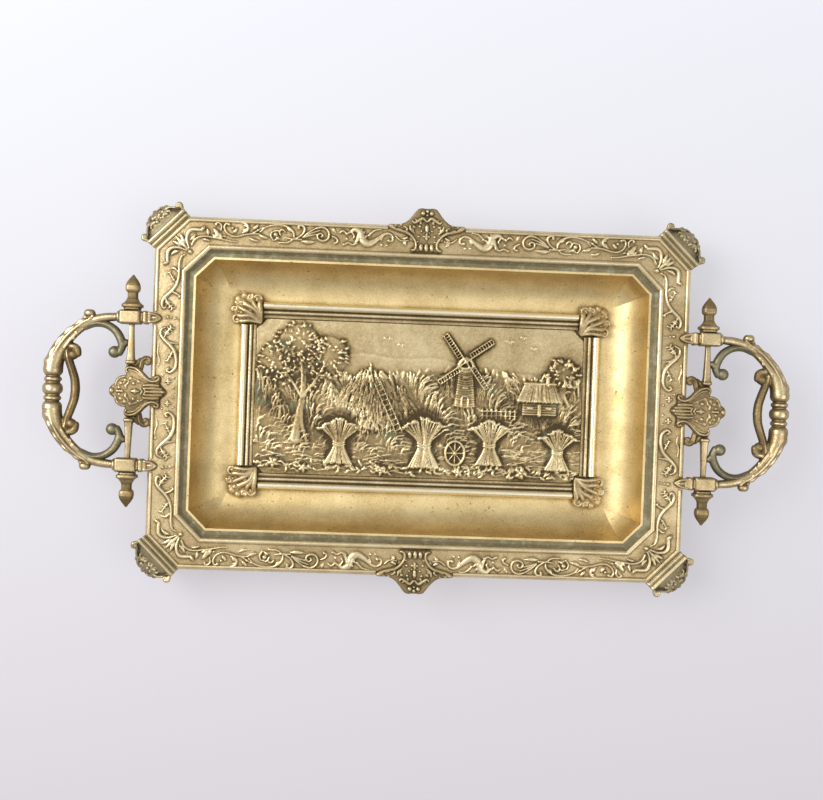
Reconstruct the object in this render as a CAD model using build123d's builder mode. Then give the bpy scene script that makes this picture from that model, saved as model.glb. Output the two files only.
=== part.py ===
"""A rectangular brass tray: a cast rim frame with cut corners on four splayed feet, a coved basin
hung under it, a framed relief panel on the basin's floor, a crest on each long side and a scrolled
handle on each short side.

Millimetres. +X runs towards the right handle, +Y to the back, +Z up. The origin is on the table,
under the centre of the tray.
"""

import math
import os

from build123d import *

os.makedirs("parts", exist_ok=True)

# ---- Rim frame ----
rim_length = 346.0
rim_width = 225.6
rim_top = 40.0  # crest of the rim's mouldings above the table
corner_cut = 20.8  # leg of the cut across each outer corner
band_corner_cut = 17.0  # leg of the same cut at the inner moulding
frame_thickness = 5.0
band_depth = 1.2  # how far the ornament band lies below the mouldings
outer_moulding = 3.4
edge_bevel = 1.1  # plain slope outside the outer moulding's bead
ornament_band = 13.8
inner_moulding = 3.5
step_drop = 3.9  # from the mouldings' crest down to the fillet round the basin
step_width = 4.2

# ---- Basin ----
wall = 1.6
basin_depth = 28.0  # from the rim's crest to the basin's floor
lip_width = 1.4
lip_rise = 0.5  # the lip's edge above the fillet round it
flange_margin = 3.2  # how far the flange stops short of the ornament band's inner edge
seat_gap = 0.1  # between pieces that are fitted into each other

# ---- Panel and its frame ----
floor_end_margin = 3.3  # flat floor left round the panel's frame at the short sides
floor_side_margin = 1.1  # and at the long sides
panel_thickness = 2.6
panel_cut = 6.6  # leg of the cut across each corner
land_relief = 0.5  # the fields above the sky
low_relief = 1.1  # trees, mill and cottage above the fields
high_relief = 1.6  # rick, sheaves and mill sails above the fields
frame_bar = 10.8  # width of the panel frame's moulding
bar_round = 4.6  # width of its rounded outer bar
bar_height = 5.4
boss_length = 20.4  # leaf boss over each corner of the panel frame
boss_width = 19.0
boss_height = 3.4
boss_overhang = 5.4  # how far the bosses stand out past the panel frame
leaf_ribs = 5

# ---- Crests ----
crest_half_width = 25.0
crest_reach = 11.3  # how far the crest stands out past the rim
crest_thickness = 2.6
crest_edge = 1.5  # width of the raised edge round the crest
crest_relief = 0.8

# ---- Feet ----
foot_half_width = 15.6
foot_reach = 18.2  # how far the foot's shield stands out past the cut corner
foot_lug = 13.0  # seat under the frame
foot_lug_thickness = 5.0
volute_radius = 2.1

# ---- Handles ----
handle_drop = 1.0  # the handles' middle plane below the rim's crest
handle_reach = 67.4  # from the rim's edge to the outside of the grip
bar_offset = 12.6  # from the rim's edge to the centre line of the bar
bar_size = 4.6
block_spacing = 94.2  # between the centres of a handle's two blocks
block_length = 13.8
block_width = 9.2
block_height = 9.0
arm_root_radius = 2.95
arm_end_radius = 6.2
baluster_bulb = 6.9  # length of the bulb between the two arms
baluster_ring = 2.3
bracket_scroll = 1.9  # radius of the scrolls of the brackets behind the cartouches
curl_radius = 2.5  # scrolls inside the loop of the grips
stem_radius = 2.1  # scroll along the back of the baluster, at its ends
ball_radius = 4.0
finial_length = 22.6
finial_half_width = 6.6
finial_half_depth = 5.2
spigot_radius = 1.6
spigot_length = 4.0
cartouche_thickness = 2.6
cartouche_half_width = 15.4
cartouche_overhang = 12.8  # beyond the bar's centre line
cartouche_seat = 10.6  # length of its tail on the rim

# ---- Screws ----
screw_radius = 1.25
head_radius = 2.2
head_height = 1.5
basin_screw_count = 3  # along each long side
basin_screw_pitch = 104.0
thread_depth = 2.4
plate_thread = 1.3  # thread in the thin plates of the crests, handles and panel
slot_width = 0.7

# ---- Heights and lines that follow from them ----
band_level = rim_top - band_depth
underside = rim_top - frame_thickness
band_inner = outer_moulding + ornament_band
opening = band_inner + inner_moulding + step_width
floor_level = rim_top - basin_depth
lip_inner = opening + seat_gap + lip_width
flange_outer = band_inner - flange_margin
half_length = rim_length / 2
half_width = rim_width / 2
handle_level = rim_top - handle_drop
bar_x = half_length + bar_offset
grip_x = half_length + handle_reach - arm_end_radius
block_y = block_spacing / 2
cove_radius = underside - floor_level
frame_half_length = half_length - lip_inner - cove_radius - floor_end_margin
frame_half_width = half_width - lip_inner - cove_radius - floor_side_margin
panel_length = 2 * (frame_half_length - frame_bar)
panel_width = 2 * (frame_half_width - frame_bar)


def parallel_cut(inset):
    """Leg of the corner cut on an outline parallel to the inner moulding's."""
    return band_corner_cut - (inset - band_inner) * (2 - math.sqrt(2))


def cut_rectangle(half_x, half_y, cut):
    """Corners of a rectangle with its corners cut off, from the middle of its front side."""
    return [
        (0, -half_y),
        (half_x - cut, -half_y),
        (half_x, -half_y + cut),
        (half_x, half_y - cut),
        (half_x - cut, half_y),
        (-half_x + cut, half_y),
        (-half_x, half_y - cut),
        (-half_x, -half_y + cut),
        (-half_x + cut, -half_y),
    ]


def rim_outline(inset, cut):
    """The rim's outline moved inwards by inset."""
    return cut_rectangle(half_length - inset, half_width - inset, cut)


def rim_section(inset):
    """Plane across the front side of the rim: x runs inwards from inset, y is up from the crest."""
    return Plane(
        origin=(0, -half_width + inset, rim_top), x_dir=(0, 1, 0), z_dir=(1, 0, 0)
    )


def keep(piece, name):
    """Names a finished piece and writes it."""
    piece.label = name
    export_step(piece, f"parts/{name}.step")


def keep_in_quadrants(piece, name):
    """Keeps a piece of the back right quarter there, and mirrored into the three others."""
    for side, mirror_x in (("right", False), ("left", True)):
        for end, mirror_y in (("back", False), ("front", True)):
            with BuildPart() as copy:
                add(piece)
                if mirror_x:
                    mirror(about=Plane.YZ, mode=Mode.REPLACE)
                if mirror_y:
                    mirror(about=Plane.XZ, mode=Mode.REPLACE)
            keep(copy.part, f"{name}_{end}_{side}")


def keep_both_sides(piece, name):
    """Keeps a piece of the right handle there, and turned half round for the left one."""
    for side, turn in (("right", 0), ("left", 180)):
        with BuildPart() as copy:
            add(piece, rotation=(0, 0, turn))
        keep(copy.part, f"{name}_{side}")


# ---- Where the screws go ----
corner_x = half_length - corner_cut / 2
corner_y = half_width - corner_cut / 2
diagonal = math.sqrt(0.5)


def corner_point(outward, along):
    """Point of the back right corner, from the middle of the cut edge."""
    return (
        corner_x + (outward + along) * diagonal,
        corner_y + (outward - along) * diagonal,
    )


foot_screw_spots = [corner_point(-foot_lug / 2, 8 * side) for side in (-1, 1)]
crest_screw_x = 9.5
crest_screw_y = half_width - band_inner / 2
leaf_screw_x = half_length - outer_moulding
cartouche_screw_x = half_length - outer_moulding - 3.0
flange_line = (flange_outer + opening) / 2
panel_screw_x = panel_length / 3
panel_screw_y = panel_width / 3
boss_x = frame_half_length + boss_overhang - boss_length / 2
boss_y = frame_half_width + boss_overhang * 0.64 - boss_width / 2
four_ways = [(1, 1), (-1, 1), (-1, -1), (1, -1)]

foot_screw_points = [(x * sx, y * sy) for x, y in foot_screw_spots for sx, sy in four_ways]
crest_screw_points = [(crest_screw_x * sx, crest_screw_y * sy) for sx, sy in four_ways]
leaf_screw_points = [(leaf_screw_x * sx, block_y * sy) for sx, sy in four_ways]
handle_screw_points = leaf_screw_points + [(cartouche_screw_x, 0), (-cartouche_screw_x, 0)]
basin_screw_x = [basin_screw_pitch * (k - (basin_screw_count - 1) / 2) for k in range(basin_screw_count)]
basin_screw_points = [(x, y * (half_width - flange_line)) for x in basin_screw_x for y in (-1, 1)]
basin_screw_points += [(half_length - flange_line, 0), (flange_line - half_length, 0)]
boss_screw_points = [(boss_x * sx, boss_y * sy) for sx, sy in four_ways]
panel_screw_points = [(panel_screw_x * sx, panel_screw_y * sy) for sx, sy in four_ways]

# ---- Rim frame: a flat cast ring with a rounded moulding along each edge of its ornament band ----
with BuildPart() as rim_frame:
    with BuildSketch(Plane.XY.offset(underside)):
        Polygon(*rim_outline(outer_moulding / 2, corner_cut - outer_moulding / 2), align=None)
        Polygon(*rim_outline(band_inner + 1, parallel_cut(band_inner + 1)), align=None, mode=Mode.SUBTRACT)
    extrude(amount=frame_thickness - band_depth)
    with BuildLine(Plane.XY.offset(rim_top)):
        Polyline(*rim_outline(0, corner_cut), close=True)
    with BuildSketch(rim_section(0)):
        with BuildLine():
            Line((edge_bevel, -frame_thickness), (0, -frame_thickness * 0.65))
            Line((0, -frame_thickness * 0.65), (0, -edge_bevel * 1.8))
            Line((0, -edge_bevel * 1.8), (edge_bevel, -edge_bevel * 0.7))
            ThreePointArc(
                (edge_bevel, -edge_bevel * 0.7),
                ((edge_bevel + outer_moulding) / 2, 0),
                (outer_moulding, -band_depth),
            )
            Line((outer_moulding, -band_depth), (outer_moulding, -frame_thickness))
            Line((outer_moulding, -frame_thickness), (edge_bevel, -frame_thickness))
        make_face()
    sweep(transition=Transition.RIGHT)
    with BuildLine(Plane.XY.offset(rim_top)):
        Polyline(*rim_outline(band_inner, band_corner_cut), close=True)
    with BuildSketch(rim_section(band_inner)):
        with BuildLine():
            ThreePointArc(
                (0, -band_depth),
                (inner_moulding * 0.36, 0),
                (inner_moulding, -step_drop * 0.6),
            )
            Line((inner_moulding, -step_drop * 0.6), (inner_moulding + step_width * 0.4, -step_drop))
            Line(
                (inner_moulding + step_width * 0.4, -step_drop),
                (inner_moulding + step_width, -step_drop),
            )
            Line(
                (inner_moulding + step_width, -step_drop),
                (inner_moulding + step_width, -frame_thickness),
            )
            Line((inner_moulding + step_width, -frame_thickness), (0, -frame_thickness))
            Line((0, -frame_thickness), (0, -band_depth))
        make_face()
    sweep(transition=Transition.RIGHT)
    # The outer moulding stops where a crest or a handle crosses it.
    notch_depth = outer_moulding + seat_gap
    with BuildSketch(Plane.XY.offset(band_level)):
        with Locations((0, half_width), (0, -half_width)):
            Rectangle(2 * crest_half_width, 2 * notch_depth)
        with Locations((half_length, 0), (-half_length, 0)):
            Rectangle(2 * notch_depth, cartouche_half_width * 1.32)
        with Locations(*[(half_length * sx, block_y * sy) for sx, sy in four_ways]):
            Rectangle(2 * notch_depth, block_width)
    extrude(amount=2 * band_depth, mode=Mode.SUBTRACT)
    with BuildSketch(Plane.XY.offset(underside)):
        with Locations(*handle_screw_points, *crest_screw_points):
            Circle(screw_radius + seat_gap)
    extrude(amount=frame_thickness - band_depth, mode=Mode.SUBTRACT)
    with BuildSketch(Plane.XY.offset(underside)):
        with Locations(*foot_screw_points, *basin_screw_points):
            Circle(screw_radius + seat_gap)
    extrude(amount=thread_depth + seat_gap, mode=Mode.SUBTRACT)
keep(rim_frame.part, "rim_frame")


# ---- Basin: coved walls down to a flat floor, hung from a flange under the frame ----
lip_top = rim_top - step_drop + lip_rise
long_span = half_length - lip_inner
short_span = half_width - lip_inner
corner_span = (long_span + short_span - parallel_cut(lip_inner)) * diagonal
wall_pairs = [(0, short_span), (90, long_span), (45, corner_span), (135, corner_span)]


def cove_section(turn):
    """Upright plane square to the direction at turn degrees from +X."""
    along = math.cos(math.radians(turn)), math.sin(math.radians(turn)), 0
    across = -along[1], along[0], 0
    return Plane(origin=(0, 0, 0), x_dir=across, z_dir=along)


def cove_outline(half_span, grown):
    """Across a pair of coved walls, grown outwards: the floor, and a quarter round at each side."""
    foot = half_span - cove_radius
    Line((-foot, floor_level - grown), (foot, floor_level - grown))
    CenterArc((foot, underside), cove_radius + grown, -90, 90)
    Line((half_span + grown, underside), (-half_span - grown, underside))
    CenterArc((-foot, underside), cove_radius + grown, 180, 90)


with BuildPart() as hollow:
    for turn, half_span in wall_pairs:
        with BuildSketch(cove_section(turn)):
            with BuildLine():
                cove_outline(half_span, 0)
            make_face()
        extrude(amount=rim_length, both=True, mode=Mode.INTERSECT if turn else Mode.ADD)
    with BuildSketch(Plane.XY.offset(underside)):
        Polygon(*rim_outline(lip_inner, parallel_cut(lip_inner)), align=None)
    extrude(amount=frame_thickness)

with BuildPart() as basin:
    for turn, half_span in wall_pairs:
        with BuildSketch(cove_section(turn)):
            with BuildLine():
                cove_outline(half_span, wall)
            make_face()
        extrude(amount=rim_length, both=True, mode=Mode.INTERSECT if turn else Mode.ADD)
    with BuildSketch(Plane.XY.offset(underside - wall)):
        Polygon(*rim_outline(flange_outer, parallel_cut(flange_outer)), align=None)
    extrude(amount=wall)
    with BuildSketch(Plane.XY.offset(underside - wall)):
        Polygon(*rim_outline(opening + seat_gap, parallel_cut(opening + seat_gap)), align=None)
    extrude(amount=lip_top - underside + wall)
    add(hollow.part, mode=Mode.SUBTRACT)
    with BuildSketch(Plane.XY.offset(underside - wall)):
        with Locations(*basin_screw_points):
            Circle(screw_radius + seat_gap)
    extrude(amount=wall, mode=Mode.SUBTRACT)
    with BuildSketch(Plane.XY.offset(floor_level - wall)):
        with Locations(*boss_screw_points, *panel_screw_points):
            Circle(screw_radius + seat_gap)
    extrude(amount=wall, mode=Mode.SUBTRACT)
keep(basin.part, "basin")

# ---- Relief panel: a cast plate with its corners cut, on the basin's floor ----
# Its landscape has fields, an oak, a rick, a mill, a cottage and bound sheaves, without figures.
panel_top = floor_level + panel_thickness
skyline = [(-0.5, 0.12), (-0.34, 0.16), (-0.2, 0.11), (-0.04, 0.15), (0.16, 0.1), (0.34, 0.16), (0.5, 0.12)]
fields = [(x * panel_length, y * panel_width) for x, y in skyline]
fields += [
    (panel_length / 2, panel_cut - panel_width / 2),
    (panel_length / 2 - panel_cut, -panel_width / 2),
    (panel_cut - panel_length / 2, -panel_width / 2),
    (-panel_length / 2, panel_cut - panel_width / 2),
]
trunk_outline = [(0.11, 0.0), (0.06, 0.3), (0.06, 0.6), (0.12, 0.85)]
rick_outline = [(0.5, 0.0), (0.58, 0.42), (0.42, 0.68), (0.16, 0.92), (0.0, 1.0)]
mill_outline = [(0.2, 0.0), (0.13, 0.84), (0.15, 0.86), (0.08, 0.98), (0.0, 1.02)]
cottage_outline = [(0.55, 0.0), (0.55, 0.42), (0.72, 0.4), (0.5, 1.0)]
sheaf_outline = [(0.3, 0.0), (0.13, 0.44), (0.42, 0.8), (0.24, 0.96), (0.0, 1.0)]
mill_root = (0.14, -0.02)
mill_height = 0.3
motifs = [
    ((-0.36, -0.26), 0.52, trunk_outline, low_relief),
    ((-0.15, -0.17), 0.38, rick_outline, high_relief),
    (mill_root, mill_height, mill_outline, low_relief),
    ((0.37, -0.06), 0.2, cottage_outline, low_relief),
    ((-0.24, -0.42), 0.3, sheaf_outline, high_relief),
    ((0.02, -0.43), 0.34, sheaf_outline, high_relief),
    ((0.22, -0.4), 0.3, sheaf_outline, high_relief),
    ((0.43, -0.42), 0.27, sheaf_outline, high_relief),
]
tree_crowns = [(-0.43, 0.22, 0.13), (-0.37, 0.33, 0.14), (-0.28, 0.27, 0.13), (-0.35, 0.18, 0.12), (0.44, 0.2, 0.1)]
crown_seat = (Align.CENTER, Align.CENTER, Align.MIN)
mill_x = mill_root[0] * panel_length
mill_hub = (mill_root[1] + 0.95 * mill_height) * panel_width
mill_sail = 0.22 * panel_width
sail_width = 3.0
sail_turns = [35 + 90 * number for number in range(4)]


def standing_outline(root, height, outline):
    """Corners of a symmetric form on its root; the outline is the right half, in shares of height."""
    tall = height * panel_width
    centre = root[0] * panel_length
    foot = root[1] * panel_width
    right = [(centre + u * tall, foot + v * tall) for u, v in outline]
    left = [(centre - u * tall, foot + v * tall) for u, v in reversed(outline) if u > 0]
    return right + left


with BuildPart() as relief_panel:
    with BuildSketch(Plane.XY.offset(floor_level)):
        Polygon(*cut_rectangle(panel_length / 2, panel_width / 2, panel_cut), align=None)
    extrude(amount=panel_thickness)
    with BuildSketch(Plane.XY.offset(floor_level)):
        with Locations(*panel_screw_points):
            Circle(screw_radius + seat_gap)
    extrude(amount=plate_thread + seat_gap, mode=Mode.SUBTRACT)
    with BuildSketch(Plane.XY.offset(panel_top)):
        Polygon(*fields, align=None)
    extrude(amount=land_relief)
    for root, height, outline, relief in motifs:
        with BuildSketch(Plane.XY.offset(panel_top)):
            Polygon(*standing_outline(root, height, outline), align=None)
        extrude(amount=land_relief + relief)
    for x, y, radius in tree_crowns:
        with Locations((x * panel_length, y * panel_width, panel_top)):
            Cylinder(radius * panel_width, land_relief + low_relief, align=crown_seat)
    for turn in sail_turns:
        with BuildSketch(Plane((mill_x, mill_hub, panel_top))):
            with Locations(Location((0, 0), turn)):
                Rectangle(mill_sail, sail_width, align=(Align.MIN, Align.CENTER))
        extrude(amount=land_relief + high_relief)
    with BuildSketch(Plane.XY.offset(floor_level)):
        Polygon(*cut_rectangle(panel_length / 2, panel_width / 2, panel_cut), align=None)
    extrude(amount=panel_thickness + land_relief + high_relief, mode=Mode.INTERSECT)
keep(relief_panel.part, "relief_panel")


# ---- Panel frame: four moulded bars that butt against the corner bosses ----
def bar_section():
    """Across a bar, from the panel's edge outwards: two fillets, a groove and the rounded bar."""
    groove = frame_bar - bar_round
    fillet_low = bar_height * 0.56
    fillet_high = bar_height * 0.68
    Polyline(
        (seat_gap, 0),
        (seat_gap, fillet_low),
        (groove * 0.44, fillet_low),
        (groove * 0.52, fillet_high),
        (groove * 0.84, fillet_high),
        (groove, bar_height * 0.5),
    )
    ThreePointArc(
        (groove, bar_height * 0.5),
        (groove + bar_round / 2, bar_height),
        (frame_bar, bar_height * 0.45),
    )
    Polyline((frame_bar, bar_height * 0.45), (frame_bar, 0), (seat_gap, 0))


boss_inner_x = boss_x - boss_length / 2
boss_inner_y = boss_y - boss_width / 2
bars = [
    ("back", panel_width / 2, 90, boss_inner_x),
    ("left", panel_length / 2, 180, boss_inner_y),
    ("front", panel_width / 2, 270, boss_inner_x),
    ("right", panel_length / 2, 0, boss_inner_y),
]
for side, distance, turn, half_span in bars:
    out_x = math.cos(math.radians(turn))
    out_y = math.sin(math.radians(turn))
    seat = (distance * out_x, distance * out_y, floor_level)
    with BuildPart() as bar:
        with BuildSketch(Plane(seat, x_dir=(out_x, out_y, 0), z_dir=(out_y, -out_x, 0))):
            with BuildLine():
                bar_section()
            make_face()
        extrude(amount=half_span - seat_gap, both=True)
    keep(bar.part, f"panel_moulding_{side}")

# ---- Corner bosses: a fluted leaf that opens outwards, with scrolls round its edge ----
boss_lift = 0.8  # the boss's edge clears the foot of the cove
boss_edge = floor_level + boss_lift
leaf_spread = 62.0  # angle between the outer ribs
leaf_pitch = 8.0  # how steeply the ribs climb
rib_length = 17.5
inner_cut = panel_length / 2 + panel_width / 2 - panel_cut - boss_inner_x - boss_inner_y + 2 * seat_gap
scroll_spots = [
    (-boss_length * 0.34, boss_width * 0.36, 2.9),
    (boss_length * 0.36, -boss_width * 0.34, 2.9),
    (boss_length * 0.22, boss_width * 0.38, 2.5),
    (boss_length * 0.38, boss_width * 0.22, 2.5),
]
with BuildPart() as panel_corner:
    with BuildSketch(Plane((boss_x, boss_y, boss_edge))):
        Rectangle(boss_length, boss_width)
        chamfer(vertices().sort_by(Axis((0, 0, 0), (1, 1, 0)))[0], length=inner_cut)
        fillet(vertices().sort_by(Axis((0, 0, 0), (1, 1, 0)))[-1], radius=boss_width / 4)
    extrude(amount=boss_height)
    with BuildSketch(Plane((boss_x, boss_y, floor_level))):
        with Locations((-boss_overhang / 2, -boss_overhang / 3)):
            Rectangle(boss_length - boss_overhang, boss_width - boss_overhang * 2 / 3)
        chamfer(vertices().sort_by(Axis((0, 0, 0), (1, 1, 0)))[0], length=inner_cut)
    extrude(amount=boss_lift)
    for number in range(leaf_ribs):
        angle = math.radians(45 + leaf_spread * (number / (leaf_ribs - 1) - 0.5))
        climb = math.radians(leaf_pitch)
        direction = math.cos(angle) * math.cos(climb), math.sin(angle) * math.cos(climb), math.sin(climb)
        root = (
            boss_inner_x + inner_cut + math.cos(angle),
            boss_inner_y + inner_cut + math.sin(angle),
            boss_edge + boss_height - 0.4,
        )
        with Locations(Plane(origin=root, z_dir=direction)):
            Cone(1.1, 2.5, rib_length, align=(Align.CENTER, Align.CENTER, Align.MIN))
    for x, y, radius in scroll_spots:
        with Locations((boss_x + x, boss_y + y, boss_edge)):
            Cylinder(radius, boss_height + 1.6, align=(Align.CENTER, Align.CENTER, Align.MIN))
    with BuildSketch(Plane((boss_x, boss_y, floor_level))):
        Circle(screw_radius + seat_gap)
    extrude(amount=boss_height, mode=Mode.SUBTRACT)
keep_in_quadrants(panel_corner.part, "panel_corner")

# ---- Crests: a bell-shaped plate seated on the ornament band, ending in scrolls ----
crest_tail = band_inner - seat_gap
crest_flank = [(0.22, 1.0), (0.34, 0.86), (0.46, 0.57), (0.61, 0.26), (0.75, 0.09), (0.9, 0.03)]
crest_foot = [(0.93, -0.16), (0.76, -0.23), (0.58, -0.31), (0.42, -0.49), (0.33, -0.71), (0.35, -0.88)]
with BuildPart() as crest:
    with BuildSketch(Plane((0, half_width, band_level))):
        with BuildLine():
            flank = [(x * crest_half_width, y * crest_reach) for x, y in crest_flank]
            foot = [(x * crest_half_width, y * crest_tail) for x, y in crest_foot]
            Line((0, crest_reach * 0.96), flank[0])
            Spline(*flank)
            Line(flank[-1], foot[0])
            Spline(*foot)
            Line(foot[-1], (crest_half_width * 0.2, -crest_tail))
            Line((crest_half_width * 0.2, -crest_tail), (0, -crest_tail))
            mirror(about=Plane.YZ)
        make_face()
        for side in (-1, 1):
            with Locations((side * (crest_half_width - 1.9), -crest_tail * 0.06)):
                Circle(1.9)
            with Locations((side * crest_half_width * 0.4, -crest_tail * 0.86)):
                Circle(2.2)
    extrude(amount=crest_thickness)
    with BuildSketch(Plane((0, half_width, band_level + crest_thickness))):
        with BuildLine():
            Polyline(
                (0, crest_reach * 0.96 - crest_edge),
                (flank[0][0] - crest_edge / 3, crest_reach - crest_edge),
                (flank[2][0] - crest_edge, flank[2][1] - crest_edge / 2),
                (flank[4][0] - crest_edge, flank[4][1] - crest_edge),
                (foot[2][0] - crest_edge, foot[2][1] + crest_edge),
                (foot[4][0] - crest_edge, foot[4][1]),
                (foot[4][0] - crest_edge, -crest_tail + crest_edge),
                (0, -crest_tail + crest_edge),
            )
            mirror(about=Plane.YZ)
        make_face()
    extrude(amount=-crest_relief, mode=Mode.SUBTRACT)
    with BuildSketch(Plane((0, 0, band_level))):
        with Locations((crest_screw_x, crest_screw_y), (-crest_screw_x, crest_screw_y)):
            Circle(screw_radius + seat_gap)
    extrude(amount=plate_thread + seat_gap, mode=Mode.SUBTRACT)
keep(crest.part, "crest_back")
with BuildPart() as crest_front:
    mirror(crest.part, about=Plane.XZ)
keep(crest_front.part, "crest_front")

# ---- Feet: a bracket under each cut corner, its shield bowed out over a small toe ----
side_view = Plane(
    origin=(corner_x, corner_y, 0), x_dir=(diagonal, diagonal, 0), z_dir=(diagonal, -diagonal, 0)
)
front_view = Plane(
    origin=(corner_x, corner_y, 0), x_dir=(-diagonal, diagonal, 0), z_dir=(diagonal, diagonal, 0)
)
strip_inner = foot_reach * 0.19
strip_outer = foot_reach * 0.34
shield_top = rim_top - band_depth
bracket_height = frame_thickness - 2 * band_depth + foot_lug_thickness
leg_front = [(1.0, 0.68), (0.93, 0.5), (0.72, 0.34), (0.7, 0.22), (0.86, 0.1), (0.96, 0.03)]
shield_side = [(0.83, 0.95), (0.8, 0.86), (0.64, 0.72), (0.36, 0.58)]
shield_toe = [(0.27, 0.42), (0.31, 0.2), (0.42, 0.06)]
with BuildPart() as foot:
    with BuildSketch(side_view):
        with BuildLine():
            leg = [(w * foot_reach, z * rim_top) for w, z in leg_front]
            Line((seat_gap, shield_top), (strip_outer, shield_top))
            Spline((strip_outer, shield_top), (foot_reach * 0.8, rim_top * 0.84), *leg)
            Line(leg[-1], (foot_reach * 0.96, 0))
            Line((foot_reach * 0.96, 0), (foot_reach * 0.46, 0))
            Spline(
                (foot_reach * 0.46, 0),
                (foot_reach * 0.4, rim_top * 0.26),
                (foot_reach * 0.42, rim_top * 0.5),
                (seat_gap, underside - foot_lug_thickness),
            )
            Line((seat_gap, underside - foot_lug_thickness), (seat_gap, shield_top))
        make_face()
    extrude(amount=foot_half_width, both=True)
    with BuildSketch(front_view):
        with BuildLine():
            edge = [(v * foot_half_width, z * rim_top) for v, z in shield_side + shield_toe]
            Line((0, rim_top), (edge[0][0], rim_top))
            Line((edge[0][0], rim_top), edge[0])
            Spline(*edge)
            Line(edge[-1], (edge[-1][0], 0))
            Line((edge[-1][0], 0), (0, 0))
            mirror(about=Plane.YZ)
        make_face()
    extrude(amount=foot_reach, mode=Mode.INTERSECT)
    with BuildSketch(side_view):
        with Locations((-foot_lug, underside - foot_lug_thickness)):
            Rectangle(foot_lug + strip_inner, foot_lug_thickness, align=Align.MIN)
    extrude(amount=foot_half_width * 0.9, both=True)
    with BuildSketch(side_view):
        with Locations((seat_gap, underside - foot_lug_thickness)):
            Rectangle(strip_inner - seat_gap, bracket_height, align=Align.MIN)
        with Locations((strip_inner, underside)):
            Rectangle(strip_outer - strip_inner, frame_thickness, align=Align.MIN)
        fillet(vertices().group_by(Axis.Y)[-1], radius=(strip_outer - strip_inner) * 0.45)
    extrude(amount=foot_half_width, both=True)
    for side in (-1, 1):
        with BuildSketch(Plane((0, 0, underside))):
            with Locations(corner_point(strip_outer + volute_radius, side * (foot_half_width - 0.3))):
                Circle(volute_radius)
            with Locations(corner_point(strip_outer, side * (foot_half_width - volute_radius / 2))):
                Rectangle(2 * volute_radius, volute_radius, rotation=45)
        extrude(amount=frame_thickness - 2 * band_depth)
    with BuildSketch(Plane((0, 0, underside - foot_lug_thickness))):
        with Locations(*foot_screw_spots):
            Circle(screw_radius + seat_gap)
    extrude(amount=foot_lug_thickness, mode=Mode.SUBTRACT)
keep_in_quadrants(foot.part, "foot")

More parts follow.
